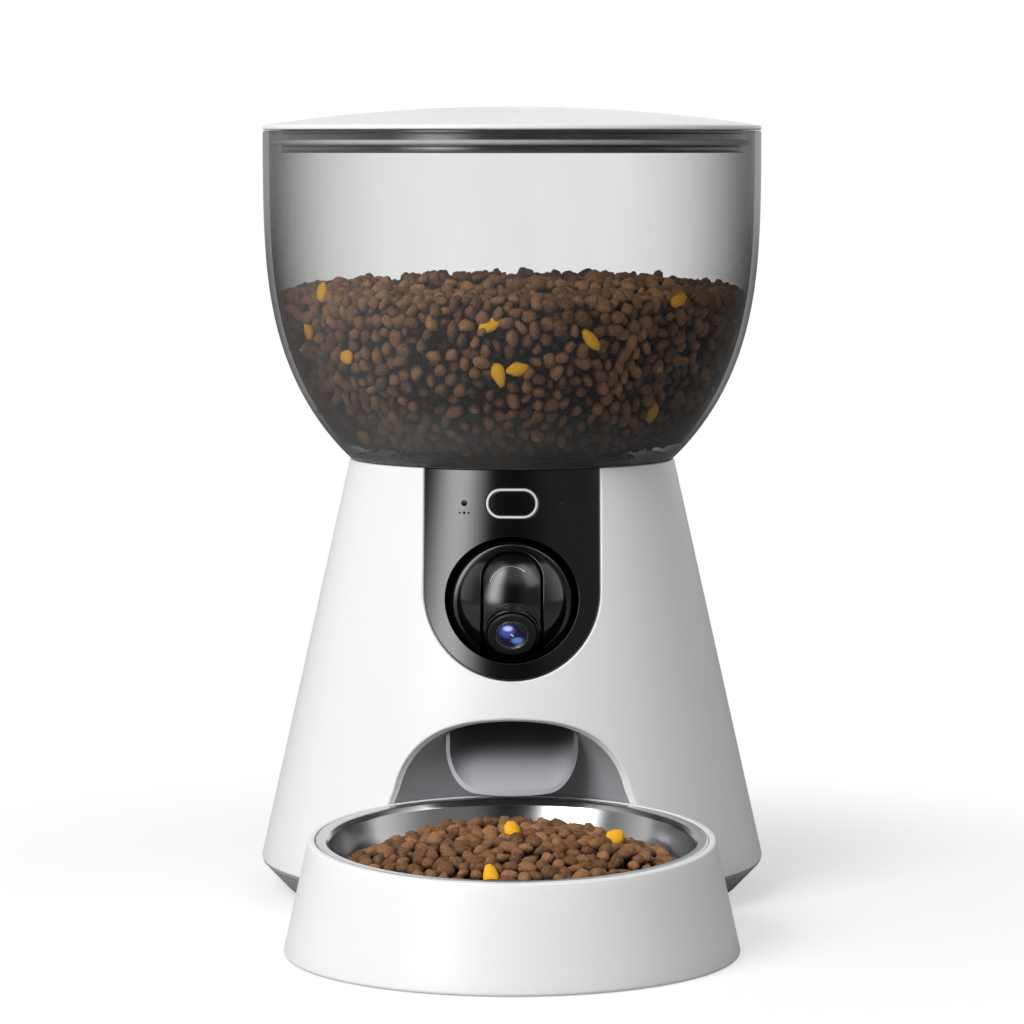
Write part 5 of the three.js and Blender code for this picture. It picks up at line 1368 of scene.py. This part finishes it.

# %% [markdown]
# ## Kibble
# Dry food is extruded, cut and puffed, so no two pieces are quite alike: rounded pillows 6 to 8 mm across,
# slightly lumpy, dark brown where they toasted, with a few flat yellow chips among them. A few shapes, each
# turned and tinted at random from a fixed seed, are enough. They are packed as balls that push each other
# apart until they fill a space, which gives the loose, tight heap that real food makes against a clear
# wall. How deep a corner lies behind the wall or under the top is kept with it, and the colour is painted
# darker there, as painted shade in the gaps between pieces and on their lower halves.

# %% Kibble shapes and packing
WALL_KIBBLE, BOWL_KIBBLE = 2.85, 3.4  # half widths of a piece in the hopper and in the bowl
SHAPES, SUBDIVISIONS = 14, 2
CONTACT = 1.86  # how near two middles come, in half widths
PUSH_SHARE = 0.8  # of each push, in one round
CHIP = (1, 0.75, 0.62)  # a yellow chip is narrower and flatter than a piece
CHIP_SIZE = 1.3
chance = random.Random(7)

kibble = Finish("kibble_brown")
# the deep attribute holds how deep a corner lies, for the painted shade
tint, deep = (kibble.add("ShaderNodeAttribute", {"attribute_name": name}, output="Fac")
              for name in ("tint", "deep"))
crumb = kibble.noise(1.1, 4)
pits = kibble.cells(1.5).step(0.4, 0.1)
toast = kibble.noise(5, 2)
brown = kibble.blend(tint, (0.36, 0.18, 0.08), (0.11, 0.049, 0.021))
brown = kibble.blend(crumb.step(0.45, 0.75) * 0.45, brown, (0.4, 0.22, 0.11))
# the pits are painted darker: partly their own colour, partly painted shade in the hollows
brown = kibble.blend(pits * 0.45 + toast * 0.15, brown, (0.06, 0.027, 0.012))
# painted shade: colour goes near black where a corner lies deep, in the gaps and under each piece
brown = kibble.blend(deep.ease(0.2, 0.8), brown, (0.007, 0.0035, 0.002))
lumps = crumb * 0.7 - pits * 0.4 + toast * 0.4
kibble.surface(brown, crumb * 0.15 + 0.62, kibble.bump(lumps, 0.35), Specular_IOR_Level=0.3)

corn = Finish("kibble_yellow")
grit = corn.noise(0.9, 4)
yellow = corn.blend(grit, (0.95, 0.52, 0.025), (0.72, 0.34, 0.012))
corn.surface(yellow, grit * 0.15 + 0.6, corn.bump(grit, 0.25), Specular_IOR_Level=0.3)


def kibble_shapes():
    """Lumpy pillows of about unit half width, as (corners, faces)."""
    shapes = []
    for _ in range(SHAPES):
        ball = bmesh.new()
        bmesh.ops.create_icosphere(ball, subdivisions=SUBDIVISIONS, radius=1)
        flat, long = chance.uniform(0.5, 0.85), chance.uniform(0.95, 1.3)
        offset = Vector((chance.uniform(0, 90), chance.uniform(0, 90), chance.uniform(0, 90)))
        sides = chance.choice((2, 3, 3, 4))
        corners = []
        for vert in ball.verts:
            p = vert.co.normalized()
            turn = math.atan2(p.y, p.x)
            swell = 1 + 0.1 * math.cos(sides * turn) * (1 - p.z * p.z) + 0.26 * noise.noise(p * 1.4 + offset)
            edge = math.copysign(abs(p.z) ** 0.75, p.z)
            corners.append(Vector((p.x * long * swell, p.y * swell, edge * flat * swell)))
        shapes.append((corners, [[v.index for v in face.verts] for face in ball.faces]))
        ball.free()
    return shapes


def packed(points, keep, half, rounds=24):
    """Balls of a half width pushed apart and kept inside a space; keep moves a point into it."""
    reach = CONTACT * half
    for _ in range(rounds):
        tree = KDTree(len(points))
        for i, p in enumerate(points):
            tree.insert(p, i)
        tree.balance()
        moves = [Vector((0, 0, 0)) for _ in points]
        for i, p in enumerate(points):
            for q, j, far in tree.find_range(p, reach):
                if j > i and far > TINY:
                    push = (p - q) * (0.5 * (reach - far) / far)
                    moves[i] += push
                    moves[j] -= push
        points = [keep(p + m * PUSH_SHARE) for p, m in zip(points, moves)]
    return points


def chips_at(points, places):
    """Move the point nearest to each place onto it; give back how the chip at each such point faces."""
    facing = {}
    for target, outward in places:
        i = min(range(len(points)), key=lambda i: (points[i] - target).length_squared)
        points[i], facing[i] = target, outward.to_track_quat("Z", "Y").to_matrix()
    return facing


def heap(name, points, shapes, half, toasted, body, cover, chip_places):
    """Kibble of a half width at the points, and its yellow chips.

    Cover tells how deep a corner of the piece at a middle lies hidden; the colour is painted darker there, as
    painted shade.
    """
    facing = chips_at(points, chip_places)
    plain = [i for i in range(len(points)) if i not in facing]
    groups = {"kibble_brown": (name, plain), "kibble_yellow": (name + "_yellow", sorted(facing))}
    for kind, (label, members) in groups.items():
        corners, faces, tints, middles = [], [], [], []
        for i in members:
            shape, quads = shapes[chance.randrange(len(shapes))]
            turn = Euler([chance.uniform(0, TURN) for _ in range(3)]).to_matrix()
            size = half * chance.uniform(0.78, 1.14)
            if i in facing:
                spin = Matrix.Rotation(chance.uniform(0, TURN), 3, "Z")
                turn = facing[i] @ spin @ Matrix.Diagonal(CHIP)
                size = half * CHIP_SIZE
            start = len(corners)
            corners += [points[i] + turn @ c * size for c in shape]
            faces += [[start + v for v in quad] for quad in quads]
            tints += [min(chance.random() + toasted, 1)] * len(shape)
            middles += [points[i]] * len(shape)
        mesh = bpy.data.meshes.new(label)
        mesh.from_pydata([(c.x * MM, (c.y + AXIS_Y) * MM, c.z * MM) for c in corners], [], faces)
        # painted shade depth of each corner, 0 at the top or wall and 1 deep in the heap
        painted_shade_depth = [min(max(cover(c, middle) / (2 * half), 0), 1) for c, middle in zip(corners, middles)]
        for attribute, values in (("tint", tints), ("deep", painted_shade_depth)):
            shade = mesh.attributes.new(attribute, "FLOAT_COLOR", "POINT")
            shade.data.foreach_set("color", [value for t in values for value in (t, t, t, 1)])
        thing = bpy.data.objects.new(label, mesh)
        bpy.context.scene.collection.objects.link(thing)
        mesh.shade_smooth()
        fit(thing, kind, body)


def polar(turn, reach, z=0.0):
    return Vector((reach * math.cos(turn), reach * math.sin(turn), z))


print("kibble finishes made")

# %% Food in the hopper
LEVEL, FOOD_LOW = 248, 183
LAYER, TOP_LAYER = 7, 9  # how deep pieces lie along the wall, and which of them count as the top
SURFACE_RISE, SURFACE_CURVE = 5, 0.0012  # the surface stands higher in the middle
WALL_PIECES, TOP_PIECES = 2250, 950
YELLOW_AT = ((-52.9, 243.5), (-63.1, 228), (-48, 218.2), (-5.2, 232.1), (19.9, 226), (-3.5, 213.1),
             (1.4, 215), (44.5, 240.5), (46, 196.5), (-59.7, 185))  # degrees from the front, and height
wall_shapes = kibble_shapes()


def level_at(p):
    """The highest middle of a piece: a slightly wavy, domed surface."""
    waves = 2.2 * noise.noise(Vector((p.x, p.y, 0)) * 0.045)
    return LEVEL - WALL_KIBBLE + waves - SURFACE_CURVE * (p.x * p.x + p.y * p.y) + SURFACE_RISE


def in_hopper(p):
    """A point moved between the wall and the core, and under the surface."""
    z = min(max(p.z, FOOD_LOW), level_at(p))
    room = hopper_r(z) - HOPPER_WALL - WALL_KIBBLE - 0.3
    room = min(room, hopper_r(z - 3) - HOPPER_WALL - WALL_KIBBLE + 0.7)
    reach = math.hypot(p.x, p.y)
    inner = max(room - LAYER, 0) if z < level_at(p) - LAYER else 0
    wanted = min(max(reach, inner), room)
    if reach < TINY:
        return Vector((p.x, p.y, z))
    return Vector((p.x * wanted / reach, p.y * wanted / reach, z))


def behind_wall(c, middle):
    """How deep a corner lies behind the wall, or for the top layer how far down on its piece."""
    inward = hopper_r(min(max(c.z, 180), 250)) - HOPPER_WALL - math.hypot(c.x, c.y)
    if middle.z < level_at(middle) - TOP_LAYER:
        return inward
    return min(inward, (middle.z - c.z) * 1.5 + WALL_KIBBLE)


food = []
for _ in range(WALL_PIECES):
    z = chance.uniform(FOOD_LOW, 243)
    room = hopper_r(z) - HOPPER_WALL - WALL_KIBBLE
    turn, reach = chance.uniform(0, TURN), room - chance.uniform(0, LAYER)
    food.append(polar(turn, reach, z))
for _ in range(TOP_PIECES):
    turn, reach = chance.uniform(0, TURN), 84 * math.sqrt(chance.random())
    food.append(polar(turn, reach, chance.uniform(237, 246)))
food = packed(food, in_hopper, WALL_KIBBLE)
wall_places = []
for degrees, z in YELLOW_AT:
    outward = Vector((math.sin(math.radians(degrees)), -math.cos(math.radians(degrees)), 0))
    wall_places.append((outward * (hopper_r(z - 2) - HOPPER_WALL - 2.2) + Vector((0, 0, z)), outward))
heap("hopper_food", food, wall_shapes, WALL_KIBBLE, 0.15, "hopper", behind_wall, wall_places)
# a black core in the heap: painted shade for its unlit inside, which also stops light showing through
core_side = [(hopper_r(z) - HOPPER_WALL - 10, z) for z in range(182, 238, 6)]
piece("hopper_food_shade_core", turned([(0, 182), *core_side, (74, 240), (0, 242)], 64), "inner_black", "hopper")
print("pieces in the hopper:", len(food))

# %% Food in the bowl
BOWL_MIDDLE = Vector((0, TRAY_Y - BOWL_BACK, 0))
BOWL_PIECES, SERVED_DEEP = 1150, 12
HEAP_TOP, HEAP_DROP, HEAP_R = 48.5, 14.5, 62
BOWL_FLOOR_Z, BOWL_SHOULDER_Z = 13.3, 43.1
BOWL_FLOOR_R, BOWL_SHOULDER_R = 45.4, 74
CHIP_OUT = Vector((0.1, -0.8, 0.6))
CHIPS_AT = ((0.2, -12, 46.6), (38.2, -3.2, 43.2), (-7.7, -52, 37.6))


def heap_top(p):
    """The highest middle of a piece over a place in the bowl."""
    away = (Vector((p.x, p.y, 0)) - BOWL_MIDDLE).length
    waves = 1.6 * noise.noise(Vector((p.x, p.y, 0)) * 0.06)
    return HEAP_TOP - HEAP_DROP * (away / HEAP_R) ** 2 + waves - BOWL_KIBBLE + 0.6


def in_bowl(p):
    """A point moved off the bowl's wall and floor, and under the heap's top."""
    away = Vector((p.x, p.y, 0)) - BOWL_MIDDLE
    z = min(p.z, heap_top(p))
    rise = min(max((z - BOWL_FLOOR_Z) / (BOWL_SHOULDER_Z - BOWL_FLOOR_Z), 0), 1)
    wall = BOWL_FLOOR_R + (BOWL_SHOULDER_R - BOWL_FLOOR_R) * rise - BOWL_KIBBLE - 0.6
    if away.length > wall:
        away = away.normalized() * wall
    floor = BOWL_FLOOR_Z + BOWL_KIBBLE
    return Vector((away.x, away.y + BOWL_MIDDLE.y, max(z, max(floor, heap_top(p) - SERVED_DEEP))))


def under_top(c, middle):
    """How deep a corner lies under the heap's top, or how far down on its piece."""
    return max((heap_top(c) - c.z) * 1.8, (middle.z - c.z) * 1.7) + BOWL_KIBBLE * 1.2


served = []
for _ in range(BOWL_PIECES):
    turn, reach = chance.uniform(0, TURN), 64 * math.sqrt(chance.random())
    p = BOWL_MIDDLE + polar(turn, reach)
    served.append(Vector((p.x, p.y, heap_top(p) - chance.uniform(0, SERVED_DEEP))))
served = packed(served, in_bowl, BOWL_KIBBLE, 30)
bowl_places = [(Vector((x, TRAY_Y + y, z)), CHIP_OUT) for x, y, z in CHIPS_AT]
bowl_shapes = kibble_shapes()
heap("bowl_food", served, bowl_shapes, BOWL_KIBBLE, 0.2, "bowl_holder", under_top, bowl_places)
print("pieces in the bowl:", len(served))

# %% [markdown]
# ## Camera, lamps and floor
# The photograph is a product shot from in front and slightly above, taken far off with a long lens, so
# upright edges hardly converge. A large soft lamp stands to the front left and gives the body its bright
# left and grey right, a weak one fills the right, and another weak one above lights the lid. The floor is
# pale, stays white to the camera away from the feeder, and keeps its soft shadow.

# %% Camera
FOCAL_PX, PHOTO_PX, SENSOR = 4145, 1024, 36
PHOTO_EYE, PHOTO_PITCH = (0, -1.60923, 0.3002), 84.95
lens = bpy.data.cameras.new("photo_camera")
lens.sensor_width = SENSOR
lens.lens = FOCAL_PX * SENSOR / PHOTO_PX
lens.clip_end = 20
eye = bpy.data.objects.new("photo_camera", lens)
eye.location = PHOTO_EYE
eye.rotation_euler = (math.radians(PHOTO_PITCH), 0, 0)
bpy.context.scene.collection.objects.link(eye)
bpy.context.scene.camera = eye
print("the lens is", round(lens.lens, 1), "mm long")

# %% Lamps
LAMPS = {
    "key_softbox": ((-0.82, -1.08, 1.08), (0.9, 0.9), 25.2),
    "right_fill": ((1.3, -0.8, 0.5), (0.5, 1.0), 0.55),
    "top_light": ((-0.2, -0.1, 1.5), (0.9, 0.9), 0.8),
}
AIM = Vector((0, 0.02, 0.16))
for name, (place, size, power) in LAMPS.items():
    lamp = bpy.data.lights.new(name, "AREA")
    lamp.shape, lamp.size, lamp.size_y, lamp.energy = "RECTANGLE", *size, power
    holder = bpy.data.objects.new(name, lamp)
    holder.location = place
    holder.rotation_euler = (AIM - Vector(place)).to_track_quat("-Z", "Y").to_euler()
    holder.visible_glossy = False
    bpy.context.scene.collection.objects.link(holder)
print("lamps:", ", ".join(LAMPS))

# %% [markdown]
# ## What the gloss sees
# Black gloss shows nothing but its surroundings, so those are drawn by direction: a tall soft panel at the
# front left, a high card and a faint glow at the right, pale walls at the sides and behind, and a pale
# ceiling. The bearing is 0 towards the camera and grows to the right. Every edge fades, so no lamp's
# outline stands in the plate. Other rays get an even light instead, and the camera sees white.

# %% Surroundings
AMBIENT, WHITE_THROUGH = 0.325, 0.9  # what matt surfaces and what rays through the smoke see
PANEL, CARD, BACK_WALL, CEILING, RIGHT_GLOW, DARK = 8.0, 2.0, 0.9, 0.7, 0.2, 0.02
sky = Finish("studio_surroundings", bpy.data.worlds.new("studio"), "Generated")
bpy.context.scene.world = sky.material
across, ahead, above = sky.axes()
bearing = across.math("ARCTAN2", across, ahead * -1.0) * (360 / TURN)
panel = bearing.ease(-64, -38) * bearing.ease(-13, -37) * above.ease(-0.2, 0.2) * above.ease(1.0, 0.85)
card = bearing.ease(25, 45) * bearing.ease(80, 60) * above.ease(0.42, 0.56)
walls = bearing.math("ABSOLUTE", bearing).ease(50, 110) * above.ease(0.8, 0.45)
mirrored = panel * PANEL + card * CARD + walls * BACK_WALL
mirrored = mirrored + bearing.ease(4, 30) * RIGHT_GLOW + above.ease(0.5, 0.8) * CEILING + DARK
rays = sky.add("ShaderNodeLightPath").socket.node.outputs
level = AMBIENT
seen_by = {"Is Glossy Ray": mirrored, "Is Transmission Ray": WHITE_THROUGH, "Is Camera Ray": 1.0}
for kind, value in seen_by.items():
    level = (value - level) * Signal(sky, rays[kind]) + level
light = sky.add("ShaderNodeBackground", {}, {"Color": (1, 1, 1, 1), "Strength": level})
sky.add("ShaderNodeOutputWorld", {}, {"Surface": light})
print("the panel is", round(PANEL / AMBIENT), "times as bright as the room")

# %% Floor
FLOOR_GLOW, FLOOR_GREY = 0.54, (0.5, 0.5, 0.5, 1)
WHITE_FROM, WHITE_AT = 0.11, 0.34  # metres from the body's axis over which the floor turns white
FLOOR_DROP = 0.0002
floor = Finish("studio_floor")
fx, fy, _ = floor.axes()
fy = fy - AXIS_Y * MM
far = ((fx * fx + fy * fy) ** 0.5).ease(WHITE_FROM, WHITE_AT)
ray = floor.add("ShaderNodeLightPath", output="Is Camera Ray")
matt = floor.add("ShaderNodeBsdfDiffuse", {}, {"Color": FLOOR_GREY})
glow = floor.add("ShaderNodeEmission", {}, {"Strength": ray * FLOOR_GLOW})
near = floor.add("ShaderNodeAddShader", {}, {0: matt, 1: glow})
white = floor.add("ShaderNodeEmission", {}, {"Strength": ray})
joined = floor.add("ShaderNodeMixShader", {}, {0: far * ray, 1: near, 2: white})
floor.add("ShaderNodeOutputMaterial", {}, {"Surface": joined})
ground = bpy.data.meshes.new("floor")
ground.from_pydata([(-6, -2, 0), (6, -2, 0), (6, 8, 0), (-6, 8, 0)], [], [[0, 1, 2, 3]])
table = bpy.data.objects.new("floor", ground)
table.location.z = -FLOOR_DROP
ground.materials.append(FINISHES["studio_floor"])
bpy.context.scene.collection.objects.link(table)
bpy.context.scene.view_settings.view_transform = "Standard"
print("floor and surroundings made")
